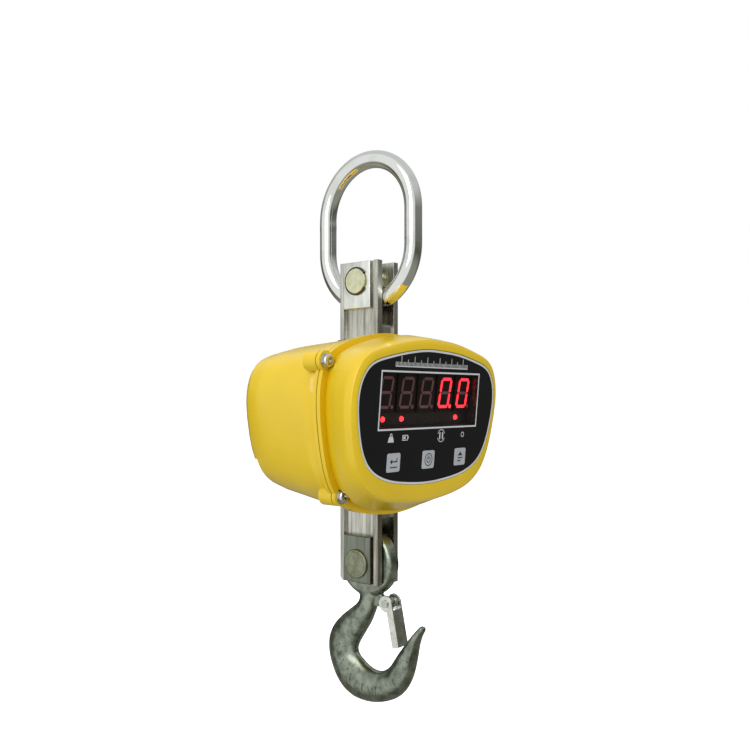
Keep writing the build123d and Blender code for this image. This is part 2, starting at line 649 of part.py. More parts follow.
def display_screws():
    """Four screws that hold the display board."""
    back = DIGIT_DEPTH + DIGIT_BODY[2]
    return [panel_rod(1.6, x, h, (back, back + BOARD)) + panel_rod(2.8, x, h, (back + BOARD, back + BOARD + 2))
            for x in (-STANDOFF_X, STANDOFF_X) for h in STANDOFF_HS]


def key(x):
    """A square key with a retaining flange behind the cover."""
    cap = key_block(x, 0.0, KEY_FRONT, KEY_BACK)
    cap = fillet(cap.faces().sort_by(Axis.Y)[0].edges(), 0.5)
    half_x, half_h = KEY_SIZE[0] / 2 + 1.5, KEY_SIZE[1] / 2 + 1.5
    return cap + panel_box((x - half_x, x + half_x), (KEY_H - half_h, KEY_H + half_h), (KEY_BACK - 1.2, KEY_BACK))


def key_switches():
    """Three small push switches behind the keys."""
    top = KEY_BACK + KEY_TRAVEL + 0.1
    switches = []
    for x in KEY_XS:
        body = panel_box((x - 3, x + 3), (KEY_H - 3, KEY_H + 3), (top + 0.4, KEY_BOARD_DEPTH))
        switches.append(body + panel_rod(1.7, x, KEY_H, (top, top + 0.4)))
    return switches


def key_board():
    """Circuit board behind the keys."""
    return panel_box((-72, 72), (KEY_H - 12, KEY_H + 12), (KEY_BOARD_DEPTH, KEY_BOARD_DEPTH + BOARD))


def key_board_posts():
    """Two posts between the cover and the key board."""
    return [panel_rod(3.0, x, KEY_H, (4.5, KEY_BOARD_DEPTH)) for x in (-27, 27)]


def main_board():
    """Circuit board behind the display, with its larger components."""
    board = panel_box((-70, 70), (-52, 24), (MAIN_DEPTH, MAIN_DEPTH + BOARD))
    for x, h, w, rise in ((-45, 0, 18, 6), (0, -20, 14, 3), (40, 5, 22, 8)):
        board += panel_box((x - w / 2, x + w / 2), (h - 9, h + 9), (MAIN_DEPTH + BOARD, MAIN_DEPTH + BOARD + rise))
    return board


def main_board_posts():
    """Four posts between the display board and the main board."""
    front = DIGIT_DEPTH + DIGIT_BODY[2] + BOARD
    return [panel_rod(2.8, x, h, (front, MAIN_DEPTH)) for x in (-62, 62) for h in (-32, 18)]


# ---- assembly --------------------------------------------------------------------------------
def pieces():
    """Every node: its name and its solid or list of solids."""
    pad_top = FRAME_TOP_Z - PAD_INSET
    pad_low = FRAME_BOTTOM_Z + 2 * PAD_INSET
    made = {"lifting_ring": lifting_ring()}
    for name, side in (("left", -1), ("right", 1)):
        made[f"upper_channel_{name}"] = channel(side, UPPER_CHANNEL_END_Z, FRAME_TOP_Z, UPPER_PIN_Z)
        made[f"lower_channel_{name}"] = channel(side, FRAME_BOTTOM_Z, LOWER_CHANNEL_END_Z, LOWER_PIN_Z)
        made[f"upper_pad_{name}"] = pad(side, pad_top - PAD_HEIGHT, pad_top, UPPER_PIN_Z)
        made[f"lower_pad_{name}"] = pad(side, pad_low, pad_low + PAD_HEIGHT, LOWER_PIN_Z)
    made.update({
        "upper_pin": pin(UPPER_PIN_Z, headed=False), "lower_pin": pin(LOWER_PIN_Z, headed=True),
        "pin_circlips": [circlip(-1, UPPER_PIN_Z), circlip(1, UPPER_PIN_Z), circlip(1, LOWER_PIN_Z)],
        "load_cell": load_cell(), "load_cell_bolts": load_cell_bolts(), "load_cell_nuts": load_cell_nuts(),
        "gauge_plugs": gauge_plugs(), "rear_housing": rear_housing(), "front_cover": front_cover(),
        "housing_gasket": housing_gasket(), "cover_screws": cover_screws(), "cover_washers": cover_washers(),
        "upper_grommet": grommet(1), "lower_grommet": grommet(-1), "mounting_plate": mounting_plate(),
        "mounting_screws": mounting_screws(), "battery": battery(), "battery_bracket": battery_bracket(),
        "bracket_screws": bracket_screws(), "charge_socket": charge_socket(), "socket_cap": socket_cap(),
        "panel_overlay": panel_overlay(), "display_lens": display_lens(), "indicator_lamps": indicator_lamps(),
        "display_board": display_board(), "display_standoffs": display_standoffs(),
        "display_screws": display_screws(), "key_switches": key_switches(), "key_board": key_board(),
        "key_board_posts": key_board_posts(), "main_board": main_board(), "main_board_posts": main_board_posts(),
        "hook": hook(), "latch": latch(), "latch_pin": latch_pin(), "latch_spring": latch_spring(),
    })
    for name, x in zip(("left", "middle", "right"), KEY_XS):
        made[f"key_{name}"] = key(x)
    for index in range(DIGIT_COUNT):
        made[f"digit_{index + 1}"] = digit(index)
    return made


def main():
    """Write every piece to parts/."""
    os.makedirs("parts", exist_ok=True)
    for name, shape in pieces().items():
        solids = shape if isinstance(shape, list) else [shape]
        export_step(Compound(children=solids), f"parts/{name}.step")


if __name__ == "__main__":
    main()
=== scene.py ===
"""Looks of a hanging crane scale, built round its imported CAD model, in metres.

+Z is up along the load line, the display faces -Y, and the origin is the inner top of the lifting ring.
"""

import logging
import math
import random
from dataclasses import dataclass, field
from enum import Enum
from typing import Any, Iterable, Sequence

import bmesh
import bpy
from mathutils import Matrix, Vector, noise
from mathutils.bvhtree import BVHTree


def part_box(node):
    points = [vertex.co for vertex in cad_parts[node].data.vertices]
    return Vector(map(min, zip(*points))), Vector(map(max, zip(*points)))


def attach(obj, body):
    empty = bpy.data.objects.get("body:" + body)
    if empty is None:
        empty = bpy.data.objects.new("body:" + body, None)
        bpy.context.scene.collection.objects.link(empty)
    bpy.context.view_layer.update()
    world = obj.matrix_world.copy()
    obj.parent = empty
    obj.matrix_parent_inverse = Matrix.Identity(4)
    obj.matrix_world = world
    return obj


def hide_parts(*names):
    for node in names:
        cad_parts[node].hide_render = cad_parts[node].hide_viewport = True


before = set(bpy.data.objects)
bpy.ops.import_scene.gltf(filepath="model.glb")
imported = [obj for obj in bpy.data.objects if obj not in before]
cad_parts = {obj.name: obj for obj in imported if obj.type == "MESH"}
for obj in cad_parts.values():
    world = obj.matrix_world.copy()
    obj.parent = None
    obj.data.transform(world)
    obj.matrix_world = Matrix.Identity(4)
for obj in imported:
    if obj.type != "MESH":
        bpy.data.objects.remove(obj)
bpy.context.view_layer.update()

LOG = logging.getLogger("crane_scale")
MM = 0.001

Point2 = tuple[float, float]
Colour = tuple[float, float, float]


class Body(Enum):
    """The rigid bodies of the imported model."""

    RING = "lifting_ring"
    SCALE = "scale_body"
    HOOK = "hook"
    LATCH = "latch"


# ---- shader building -------------------------------------------------------------------------
class Signal:
    """One output socket of a node tree, with arithmetic that adds Math nodes."""

    def __init__(self, tree: bpy.types.NodeTree, socket: bpy.types.NodeSocket) -> None:
        """Wrap a socket of the tree."""
        self.tree = tree
        self.socket = socket

    def _math(self, operation: str, first: Any, second: Any) -> "Signal":
        """Add one Math node.

        Args:
            operation: Blender's name of the operation.
            first: number or Signal for the first input.
            second: number or Signal for the second input.

        Returns:
            The node's result.
        """
        node = self.tree.nodes.new("ShaderNodeMath")
        node.operation = operation
        for socket, value in zip(node.inputs, (first, second)):
            if isinstance(value, Signal):
                self.tree.links.new(value.socket, socket)
            else:
                socket.default_value = value
        return Signal(self.tree, node.outputs[0])

    def __add__(self, other: Any) -> "Signal":
        """Sum."""
        return self._math("ADD", self, other)

    def __radd__(self, other: Any) -> "Signal":
        """Sum with the number first."""
        return self._math("ADD", other, self)

    def __sub__(self, other: Any) -> "Signal":
        """Difference."""
        return self._math("SUBTRACT", self, other)

    def __rsub__(self, other: Any) -> "Signal":
        """Difference with the number first."""
        return self._math("SUBTRACT", other, self)

    def __mul__(self, other: Any) -> "Signal":
        """Product."""
        return self._math("MULTIPLY", self, other)

    def __rmul__(self, other: Any) -> "Signal":
        """Product with the number first."""
        return self._math("MULTIPLY", other, self)

    def __pow__(self, other: Any) -> "Signal":
        """Power."""
        return self._math("POWER", self, other)

    def sine(self) -> "Signal":
        """Sine of the value in radians."""
        return self._math("SINE", self, 0.0)


class Shader:
    """Builds the node tree of one material."""

    def __init__(self, name: str) -> None:
        """Start a material with a Principled shader and an output."""
        self.material = bpy.data.materials.new(name)
        self.material.use_nodes = True
        self.tree = self.material.node_tree
        self.tree.nodes.clear()
        self.surface = self.tree.nodes.new("ShaderNodeBsdfPrincipled")
        output = self.tree.nodes.new("ShaderNodeOutputMaterial")
        self.tree.links.new(self.surface.outputs[0], output.inputs["Surface"])

    def node(self, kind: str, settings: dict[str, Any], inputs: dict[Any, Any]) -> bpy.types.Node:
        """Add one node.

        Args:
            kind: the node's type.
            settings: its properties; "stops" sets a colour ramp's (position, colour) list.
            inputs: numbers, tuples or Signals by socket name or index.

        Returns:
            The node.
        """
        made = self.tree.nodes.new(kind)
        for key, value in settings.items():
            if key == "stops":
                self._set_stops(made.color_ramp, value)
            else:
                setattr(made, key, value)
        self.feed(made, inputs)
        return made

    def _set_stops(self, ramp: bpy.types.ColorRamp, stops: Sequence[tuple[float, Colour]]) -> None:
        """Give a colour ramp its stops."""
        while len(ramp.elements) < len(stops):
            ramp.elements.new(0.5)
        for element, (position, colour) in zip(ramp.elements, stops):
            element.position = position
            element.color = (*colour, 1.0)

    def feed(self, node: bpy.types.Node, inputs: dict[Any, Any]) -> None:
        """Set or link a node's inputs."""
        for key, value in inputs.items():
            socket = node.inputs[key]
            if isinstance(value, Signal):
                self.tree.links.new(value.socket, socket)
            elif isinstance(value, tuple) and len(value) == 3 and socket.type == "RGBA":
                socket.default_value = (*value, 1.0)
            else:
                socket.default_value = value

    def place(self, stretch: Colour = (1.0, 1.0, 1.0)) -> Signal:
        """Coordinates on the piece in metres, each axis multiplied by stretch."""
        where = self.tree.nodes.new("ShaderNodeTexCoord")
        spread = self.node("ShaderNodeVectorMath", {"operation": "MULTIPLY"},
                           {0: Signal(self.tree, where.outputs["Object"]), 1: stretch})
        return Signal(self.tree, spread.outputs[0])

    def grain(self, scale: float, detail: float = 4.0, stretch: Colour = (1.0, 1.0, 1.0)) -> Signal:
        """Noise from 0 to 1.

        Args:
            scale: repeats per metre.
            detail: number of finer layers.
            stretch: multiplier of each axis.

        Returns:
            The noise value.
        """
        made = self.node("ShaderNodeTexNoise", {},
                         {"Vector": self.place(stretch), "Scale": scale, "Detail": detail, "Roughness": 0.55})
        return Signal(self.tree, made.outputs["Fac"])

    def step(self, value: Signal, low: float, high: float) -> Signal:
        """Clamp and spread a value so that low becomes 0 and high becomes 1."""
        made = self.node("ShaderNodeMapRange", {}, {"Value": value, "From Min": low, "From Max": high})
        return Signal(self.tree, made.outputs[0])

    def tint(self, factor: Signal, stops: Sequence[tuple[float, Colour]]) -> Signal:
        """Colour from a ramp."""
        made = self.node("ShaderNodeValToRGB", {"stops": stops}, {0: factor})
        return Signal(self.tree, made.outputs[0])

    def blend(self, factor: Signal, first: Any, second: Any) -> Signal:
        """Mix two colours."""
        made = self.node("ShaderNodeMix", {"data_type": "RGBA"}, {0: factor, 6: first, 7: second})
        return Signal(self.tree, made.outputs[2])

    def axis(self, name: str) -> Signal:
        """One coordinate on the piece, in metres."""
        made = self.node("ShaderNodeSeparateXYZ", {}, {0: self.place()})
        return Signal(self.tree, made.outputs[name])

    def relief(self, height: Signal, depth: float, strength: float = 1.0) -> Signal:
        """Bump normal from a height from 0 to 1 over a depth in metres."""
        made = self.node("ShaderNodeBump", {}, {"Height": height, "Distance": depth, "Strength": strength})
        return Signal(self.tree, made.outputs[0])

    def done(self, inputs: dict[str, Any]) -> bpy.types.Material:
        """Feed the Principled shader and hand over the material."""
        self.feed(self.surface, inputs)
        return self.material


# ---- finishes --------------------------------------------------------------------------------
@dataclass(frozen=True)
class Finish:
    """A finish that can make its material."""

    name: str

    def build(self) -> bpy.types.Material:
        """Make the material."""
        raise NotImplementedError


@dataclass(frozen=True)
class GlossPaint(Finish):
    """Thick glossy enamel with faint orange peel."""

    light: Colour = (0.78, 0.53, 0.004)
    deep: Colour = (0.72, 0.48, 0.003)
    coat: float = 0.35

    def build(self) -> bpy.types.Material:
        """Make the enamel."""
        shader = Shader(self.name)
        drift = shader.grain(14.0, 3.0)
        peel = shader.grain(520.0, 2.0)
        rub = shader.step(shader.grain(90.0, 6.0, (1.0, 1.0, 0.35)), 0.58, 0.75)
        return shader.done({
            "Base Color": shader.tint(drift, [(0.3, self.deep), (0.7, self.light)]),
            "Roughness": 0.27 + rub * 0.12 + drift * 0.05,
            "Coat Weight": self.coat,
            "Coat Roughness": 0.07,
            "Normal": shader.relief(peel, 0.00008, 0.35),
        })


@dataclass(frozen=True)
class MirrorChrome(Finish):
    """Polished chrome with faint smudges and hairlines."""

    colour: Colour = (0.74, 0.74, 0.72)

    def build(self) -> bpy.types.Material:
        """Make the chrome."""
        shader = Shader(self.name)
        smudge = shader.step(shader.grain(45.0, 4.0), 0.45, 0.75)
        hairline = shader.grain(900.0, 2.0, (0.2, 1.0, 1.0))
        return shader.done({
            "Base Color": shader.blend(smudge, self.colour, (0.60, 0.60, 0.57)),
            "Metallic": 1.0,
            "Roughness": 0.05 + smudge * 0.10,
            "Normal": shader.relief(hairline, 0.00002, 0.25),
        })


@dataclass(frozen=True)
class RolledSteel(Finish):
    """Polished steel section with long streaks and faint stains."""

    light: Colour = (0.66, 0.65, 0.60)
    dark: Colour = (0.26, 0.24, 0.19)
    stain: Colour = (0.13, 0.10, 0.06)
    rough: float = 0.20

    def build(self) -> bpy.types.Material:
        """Make the steel."""
        shader = Shader(self.name)
        streak = shader.grain(260.0, 3.0, (1.0, 1.0, 0.06))
        ripple = shader.grain(60.0, 5.0, (1.0, 1.0, 0.6))
        stain = shader.step(shader.grain(38.0, 5.0, (1.0, 1.0, 0.5)), 0.52, 0.78)
        plain = shader.tint(streak, [(0.3, self.dark), (0.65, self.light)])
        return shader.done({
            "Base Color": shader.blend(stain * 0.6, plain, self.stain),
            "Metallic": 1.0,
            "Roughness": self.rough + streak * 0.14 + stain * 0.15,
            "Normal": shader.relief(streak * 0.5 + ripple * 0.5, 0.0002, 0.35),
        })


@dataclass(frozen=True)
class TurnedSteel(Finish):
    """Turned pin end with fine rings round the pin's axis."""

    pin_z: float = 0.0
    colour: Colour = (0.76, 0.76, 0.54)
    deep: Colour = (0.58, 0.57, 0.38)
    ring_pitch: float = 0.0009

    def build(self) -> bpy.types.Material:
        """Make the turned face."""
        shader = Shader(self.name)
        across = shader.axis("Y")
        up = shader.axis("Z") - self.pin_z
        radius = (across * across + up * up) ** 0.5
        rings = (radius * (2 * math.pi / self.ring_pitch)).sine() * 0.5 + 0.5
        patina = shader.grain(160.0, 5.0)
        return shader.done({
            "Base Color": shader.tint(patina, [(0.35, self.deep), (0.65, self.colour)]),
            "Metallic": 1.0,
            "Roughness": 0.24 + patina * 0.16,
            "Normal": shader.relief(rings * 0.5 + patina * 0.5, 0.00006, 0.5),
        })


@dataclass(frozen=True)
class ForgedZinc(Finish):
    """Zinc plated forging with scale grain and dark pits."""

    light: Colour = (0.31, 0.34, 0.28)
    dark: Colour = (0.12, 0.135, 0.105)
    grain_depth: float = 0.0003

    def build(self) -> bpy.types.Material:
        """Make the plated forging."""
        shader = Shader(self.name)
        coarse = shader.grain(110.0, 6.0)
        fine = shader.grain(700.0, 3.0)
        pits = shader.step(shader.grain(420.0, 2.0), 0.62, 0.72)
        plating = shader.tint(coarse, [(0.32, self.dark), (0.62, self.light)])
        return shader.done({
            "Base Color": shader.blend(pits * 0.5, plating, (0.12, 0.13, 0.10)),
            "Metallic": 1.0,
            "Roughness": 0.16 + coarse * 0.20,
            "Normal": shader.relief(coarse * 0.7 + fine * 0.3 - pits * 0.2, self.grain_depth, 0.55),
        })


@dataclass(frozen=True)
class PlainSteel(Finish):
    """Small plated steel parts, sheet and wire."""

    colour: Colour = (0.58, 0.58, 0.56)
    rough: float = 0.28

    def build(self) -> bpy.types.Material:
        """Make the plated steel."""
        shader = Shader(self.name)
        cloud = shader.grain(230.0, 5.0)
        dull = tuple(c * 0.72 for c in self.colour)
        return shader.done({
            "Base Color": shader.tint(cloud, [(0.3, dull), (0.7, self.colour)]),
            "Metallic": 1.0,
            "Roughness": self.rough + cloud * 0.12,
            "Normal": shader.relief(cloud, 0.00006, 0.4),
        })


@dataclass(frozen=True)
class Rubber(Finish):
    """Moulded rubber with a fine mould grain."""

    colour: Colour = (0.018, 0.018, 0.019)

    def build(self) -> bpy.types.Material:
        """Make the rubber."""
        shader = Shader(self.name)
        mould = shader.grain(800.0, 3.0)
        dust = shader.grain(60.0, 4.0)
        return shader.done({
            "Base Color": shader.blend(dust * 0.25, self.colour, (0.06, 0.058, 0.055)),
            "Roughness": 0.62 + mould * 0.2,
            "Normal": shader.relief(mould, 0.0001, 0.5),
        })


@dataclass(frozen=True)
class Plastic(Finish):
    """Moulded or printed plastic."""

    colour: Colour = (0.5, 0.5, 0.5)
    rough: float = 0.4
    texture_scale: float = 700.0
    texture_depth: float = 0.00004
    shine: float = 0.5

    def build(self) -> bpy.types.Material:
        """Make the plastic."""
        shader = Shader(self.name)
        mould = shader.grain(self.texture_scale, 3.0)
        cloud = shader.grain(50.0, 3.0)
        shade = tuple(c * 0.86 for c in self.colour)
        return shader.done({
            "Base Color": shader.tint(cloud, [(0.3, shade), (0.7, self.colour)]),
            "Roughness": self.rough + mould * 0.08,
            "Specular IOR Level": self.shine,
            "Normal": shader.relief(mould, self.texture_depth, 0.4),
        })


@dataclass(frozen=True)
class CircuitBoard(Finish):
    """Solder-masked board with a faint weave."""

    def build(self) -> bpy.types.Material:
        """Make the board."""
        shader = Shader(self.name)
        weave = shader.grain(900.0, 2.0, (1.0, 0.3, 0.3))
        tracks = shader.step(shader.grain(240.0, 1.0, (1.0, 1.0, 0.25)), 0.5, 0.54)
        return shader.done({
            "Base Color": shader.blend(tracks, (0.010, 0.075, 0.032), (0.018, 0.120, 0.050)),
            "Roughness": 0.32 + weave * 0.1,
            "Normal": shader.relief(weave * 0.4 + tracks * 0.6, 0.00005, 0.5),
        })


@dataclass(frozen=True)
class Glow(Finish):
    """Lit resin, brightest in its middle grain."""

    colour: Colour = (1.0, 0.016, 0.030)
    strength: float = 3.0

    def build(self) -> bpy.types.Material:
        """Make the lit resin."""
        shader = Shader(self.name)
        speckle = shader.grain(500.0, 2.0)
        hot = tuple(min(1.0, c + 0.010) for c in self.colour)
        return shader.done({
            "Base Color": (0.45, 0.02, 0.03),
            "Roughness": 0.3 + speckle * 0.1,
            "Emission Color": shader.tint(speckle, [(0.3, self.colour), (0.7, hot)]),
            "Emission Strength": self.strength,
        })


@dataclass(frozen=True)
class WindowResin(Finish):
    """Clear display window, faintly smoked."""

    alpha: float = 0.05

    def build(self) -> bpy.types.Material:
        """Make the window."""
        shader = Shader(self.name)
        haze = shader.grain(70.0, 3.0)
        return shader.done({
            "Base Color": (0.03, 0.012, 0.012),
            "Roughness": 0.03 + haze * 0.04,
            "Coat Weight": 1.0,
            "Coat Roughness": 0.02,
            "Alpha": self.alpha + haze * 0.03,
        })


@dataclass(frozen=True)
class StudioPaper(Finish):
    """Seamless pale paper."""

    colour: Colour = (0.90, 0.90, 0.90)
    lift: float = 0.66

    def build(self) -> bpy.types.Material:
        """Make the paper."""
        shader = Shader(self.name)
        fibre = shader.grain(30.0, 4.0)
        shade = tuple(c * 0.985 for c in self.colour)
        return shader.done({
            "Base Color": shader.tint(fibre, [(0.3, shade), (0.7, self.colour)]),
            "Roughness": 0.9,
            "Emission Color": self.colour,
            "Emission Strength": self.lift,
        })


UPPER_PIN_Z = (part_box("upper_pin")[0].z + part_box("upper_pin")[1].z) / 2
LOWER_PIN_Z = (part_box("lower_pin")[0].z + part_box("lower_pin")[1].z) / 2

YELLOW = GlossPaint("yellow_enamel")
CHROME = MirrorChrome("polished_chrome")
CHANNEL_STEEL = RolledSteel("channel_steel")
# Upper and lower pads are the same steel. The upper copy is coloured bright as a painted highlight, and the lower copy
# is coloured dark as painted shade.
UPPER_PAD_PAINTED_HIGHLIGHT_STEEL = RolledSteel("upper_pad_steel_painted_highlight", light=(0.86, 0.86, 0.82), dark=(0.66, 0.66, 0.60), rough=0.24)
LOWER_PAD_PAINTED_SHADE_STEEL = RolledSteel("lower_pad_steel_painted_shade", light=(0.24, 0.26, 0.22), dark=(0.14, 0.15, 0.12), rough=0.24)
CELL_STEEL = RolledSteel("cell_steel", light=(0.52, 0.52, 0.50), dark=(0.38, 0.38, 0.36), rough=0.30)
UPPER_PIN_FACE = TurnedSteel("upper_pin_turned", pin_z=UPPER_PIN_Z)
# The lower pin is the same turned steel as the upper pin. Its colour is darkened as painted shade.
LOWER_PIN_FACE_PAINTED_SHADE = TurnedSteel("lower_pin_turned_painted_shade", pin_z=LOWER_PIN_Z, colour=(0.30, 0.31, 0.22), deep=(0.18, 0.18, 0.12))
FORGING = ForgedZinc("forged_zinc")
LATCH_ZINC = ForgedZinc("latch_zinc", light=(0.74, 0.74, 0.68), dark=(0.52, 0.52, 0.46), grain_depth=0.0001)
SPRING_WIRE = PlainSteel("spring_wire", colour=(0.50, 0.50, 0.47), rough=0.22)
FASTENER = PlainSteel("fastener_steel")
BRIGHT_SCREW = PlainSteel("bright_screw", colour=(0.78, 0.78, 0.76), rough=0.14)
CIRCLIP_STEEL = PlainSteel("circlip_black", colour=(0.07, 0.07, 0.065), rough=0.35)
BRACKET_STEEL = PlainSteel("bracket_steel", colour=(0.48, 0.49, 0.50), rough=0.34)
BRASS = PlainSteel("standoff_brass", colour=(0.72, 0.54, 0.24), rough=0.26)
BLACK_RUBBER = Rubber("black_rubber")
OVERLAY_FILM = Plastic("overlay_film", colour=(0.0080, 0.0080, 0.0085), rough=0.48, shine=0.2)
INK_SILVER = Plastic("printed_silver", colour=(0.62, 0.62, 0.60), rough=0.45)
INK_BLACK = Plastic("printed_black", colour=(0.025, 0.025, 0.027), rough=0.45)
KEY_GREY = Plastic("key_grey", colour=(0.44, 0.45, 0.45), rough=0.42)
BEZEL_BLACK = Plastic("bezel_black", colour=(0.020, 0.014, 0.014), rough=0.22)
DIGIT_FACE = Plastic("digit_face", colour=(0.010, 0.006, 0.006), rough=0.40, shine=0.2)
SEGMENT_OFF = Plastic("segment_unlit", colour=(0.17, 0.075, 0.070), rough=0.30)
BATTERY_CASE = Plastic("battery_case", colour=(0.035, 0.035, 0.040), rough=0.50)
SOCKET_PLASTIC = Plastic("socket_plastic", colour=(0.02, 0.02, 0.02), rough=0.25)
SWITCH_PLASTIC = Plastic("switch_plastic", colour=(0.03, 0.03, 0.03), rough=0.45)
BOARD = CircuitBoard("circuit_board")
SEGMENT_LIT = Glow("segment_lit", strength=2.6)
LAMP_LIT = Glow("lamp_lit", colour=(1.0, 0.020, 0.024), strength=3.6)
WINDOW = WindowResin("display_window")
PAPER = StudioPaper("studio_paper")

_MATERIALS: dict[Finish, bpy.types.Material] = {}


def material_of(finish: Finish) -> bpy.types.Material:
    """The one material of a finish, made the first time it is asked for."""
    if finish not in _MATERIALS:
        _MATERIALS[finish] = finish.build()
    return _MATERIALS[finish]


# ---- mesh helpers ----------------------------------------------------------------------------
def dress(node: str, finish: Finish) -> None:
    """Give a CAD node a finish.

    Args:
        node: the node's name.
        finish: its finish.
    """
    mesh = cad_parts[node].data
    mesh.materials.clear()
    mesh.materials.append(material_of(finish))
    LOG.info("dressed %s in %s", node, finish.name)


def add_piece(name: str, mesh: bpy.types.Mesh, body: str, finish: Finish,
              stands_for: Iterable[str] = ()) -> bpy.types.Object:
    """Add a piece to the scene, on its body and in its finish.

    Args:
        name: the piece's name.
        mesh: its mesh, in the row frame.
        body: the CAD body it rides on.
        finish: its finish.
        stands_for: CAD nodes that it replaces.

    Returns:
        The object.
    """
    mesh.name = name
    mesh.materials.clear()
    mesh.materials.append(material_of(finish))
    piece = bpy.data.objects.new(name, mesh)
    bpy.context.scene.collection.objects.link(piece)
    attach(piece, body)
    if stands_for:
        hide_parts(*stands_for)
    LOG.info("piece %s on %s: %d faces", name, body, len(mesh.polygons))
    return piece


def smooth(mesh: bpy.types.Mesh, angle: float) -> bpy.types.Mesh:
    """Shade a mesh smooth, with edges sharper than angle degrees kept crisp."""
    mesh.polygons.foreach_set("use_smooth", [True] * len(mesh.polygons))
    mesh.set_sharp_from_angle(angle=math.radians(angle))
    return mesh


def welded_copy(node: str, angle: float, flat: bool = False) -> bpy.types.Mesh:
    """A CAD node's mesh with its seams welded, shaded smooth across the joins of its surfaces.

    Args:
        node: the CAD node.
        angle: edges sharper than this many degrees stay crisp.
        flat: join the triangles of flat faces into one face each.

    Returns:
        The new mesh.
    """
    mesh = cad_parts[node].data.copy()
    stored = mesh.attributes.get("custom_normal")
    if stored:
        mesh.attributes.remove(stored)
    shape = bmesh.new()
    shape.from_mesh(mesh)
    bmesh.ops.remove_doubles(shape, verts=shape.verts, dist=0.000002)
    if flat:
        bmesh.ops.dissolve_limit(shape, angle_limit=math.radians(0.6), verts=shape.verts, edges=shape.edges)
    shape.to_mesh(mesh)
    shape.free()
    return smooth(mesh, angle)


def soften(piece: bpy.types.Object, width: float, angle: float = 30.0) -> None:
    """Round a piece's sharp edges with a narrow bevel.

    Args:
        piece: the object.
        width: bevel width in metres.
        angle: edges sharper than this many degrees are rounded.
    """
    bevel = piece.modifiers.new("edge_round", "BEVEL")
    bevel.width = width
    bevel.segments = 2
    bevel.limit_method = "ANGLE"
    bevel.angle_limit = math.radians(angle)
    bevel.harden_normals = True


def mesh_from(points: Sequence[Vector], faces: Sequence[Sequence[int]], angle: float) -> bpy.types.Mesh:
    """A smooth-shaded mesh from points and faces."""
    mesh = bpy.data.meshes.new("piece")
    mesh.from_pydata([tuple(p) for p in points], [], [tuple(f) for f in faces])
    shape = bmesh.new()
    shape.from_mesh(mesh)
    bmesh.ops.recalc_face_normals(shape, faces=shape.faces)
    shape.to_mesh(mesh)
    shape.free()
    return smooth(mesh, angle)


def tube(path: Sequence[Vector], radii: Sequence[float], sides: int, closed: bool) -> bpy.types.Mesh:
    """A round bar along a path, its frame carried along without twist.

    Args:
        path: points along the bar's middle.
        radii: the bar's radius at each point.
        sides: corners of the cross-section.
        closed: whether the path runs back into its start.

    Returns:
        The mesh, with end caps when it is open.
    """
    count = len(path)
    points: list[Vector] = []
    across = None
    for i, here in enumerate(path):
        before = path[i - 1] if closed or i else here
        after = path[(i + 1) % count] if closed or i < count - 1 else here
        run = (after - before).normalized()
        guess = across if across is not None else run.orthogonal()
        across = (guess - run * guess.dot(run)).normalized()
        other = run.cross(across)
        for k in range(sides):
            turn = 2 * math.pi * k / sides
            points.append(here + (across * math.cos(turn) + other * math.sin(turn)) * radii[i])
    faces = []
    for i in range(count if closed else count - 1):
        for k in range(sides):
            a, b = i * sides + k, i * sides + (k + 1) % sides
            c, d = ((i + 1) % count) * sides + (k + 1) % sides, ((i + 1) % count) * sides + k
            faces.append((a, b, c, d))
    if not closed:
        faces.append(tuple(range(sides)))
        faces.append(tuple((count - 1) * sides + k for k in range(sides)))
    return mesh_from(points, faces, 40.0)


def lathe(profile: Sequence[Point2], place: Matrix, sides: int) -> bpy.types.Mesh:
    """A turned solid.

    Args:
        profile: (radius, height) points; radius 0 closes an end.
        place: where the turning axis, local Z, goes.
        sides: steps round the axis.

    Returns:
        The mesh.
    """
    points: list[Vector] = []
    rows: list[list[int]] = []
    for radius, height in profile:
        row = []
        for k in range(sides if radius > 0 else 1):
            turn = 2 * math.pi * k / sides
            row.append(len(points))
            points.append(place @ Vector((radius * math.cos(turn), radius * math.sin(turn), height)))
        rows.append(row)
    faces: list[tuple[int, ...]] = []
    for low, high in zip(rows, rows[1:]):
        for k in range(sides):
            a, b = low[k % len(low)], low[(k + 1) % len(low)]
            c, d = high[(k + 1) % len(high)], high[k % len(high)]
            faces.append(tuple(dict.fromkeys((a, b, c, d))))
    return mesh_from(points, faces, 35.0)


# ---- lifting ring ----------------------------------------------------------------------------
@dataclass
class LiftingRing:
    """Oblong chromed link with its butt weld on one leg."""

    arc_steps: int = 64
    leg_steps: int = 60
    sides: int = 56
    weld_swell: float = 0.00015
    weld_length: float = 0.0035

    def build(self) -> None:
        """Sweep the bar round its path and add it in place of the CAD link."""
        low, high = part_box("lifting_ring")
        bar = (high.x - low.x) / 2
        half = high.y - bar
        top, bottom = high.z - bar - half, low.z + bar + half
        path = [Vector((0, half * math.cos(t), top + half * math.sin(t)))
                for t in (math.pi * i / self.arc_steps for i in range(self.arc_steps))]
        path += [Vector((0, -half, top + (bottom - top) * i / self.leg_steps)) for i in range(self.leg_steps)]
        path += [Vector((0, -half * math.cos(t), bottom - half * math.sin(t)))
                 for t in (math.pi * i / self.arc_steps for i in range(self.arc_steps))]
        path += [Vector((0, half, bottom + (top - bottom) * i / self.leg_steps)) for i in range(self.leg_steps)]
        weld = Vector((0, half, (top + bottom) / 2 + 0.012))
        radii = [bar + self.weld_swell * math.exp(-((p - weld).length / self.weld_length) ** 2) for p in path]
        add_piece("ring_bar", tube(path, radii, self.sides, True), Body.RING.value, CHROME,
                  ["lifting_ring"])


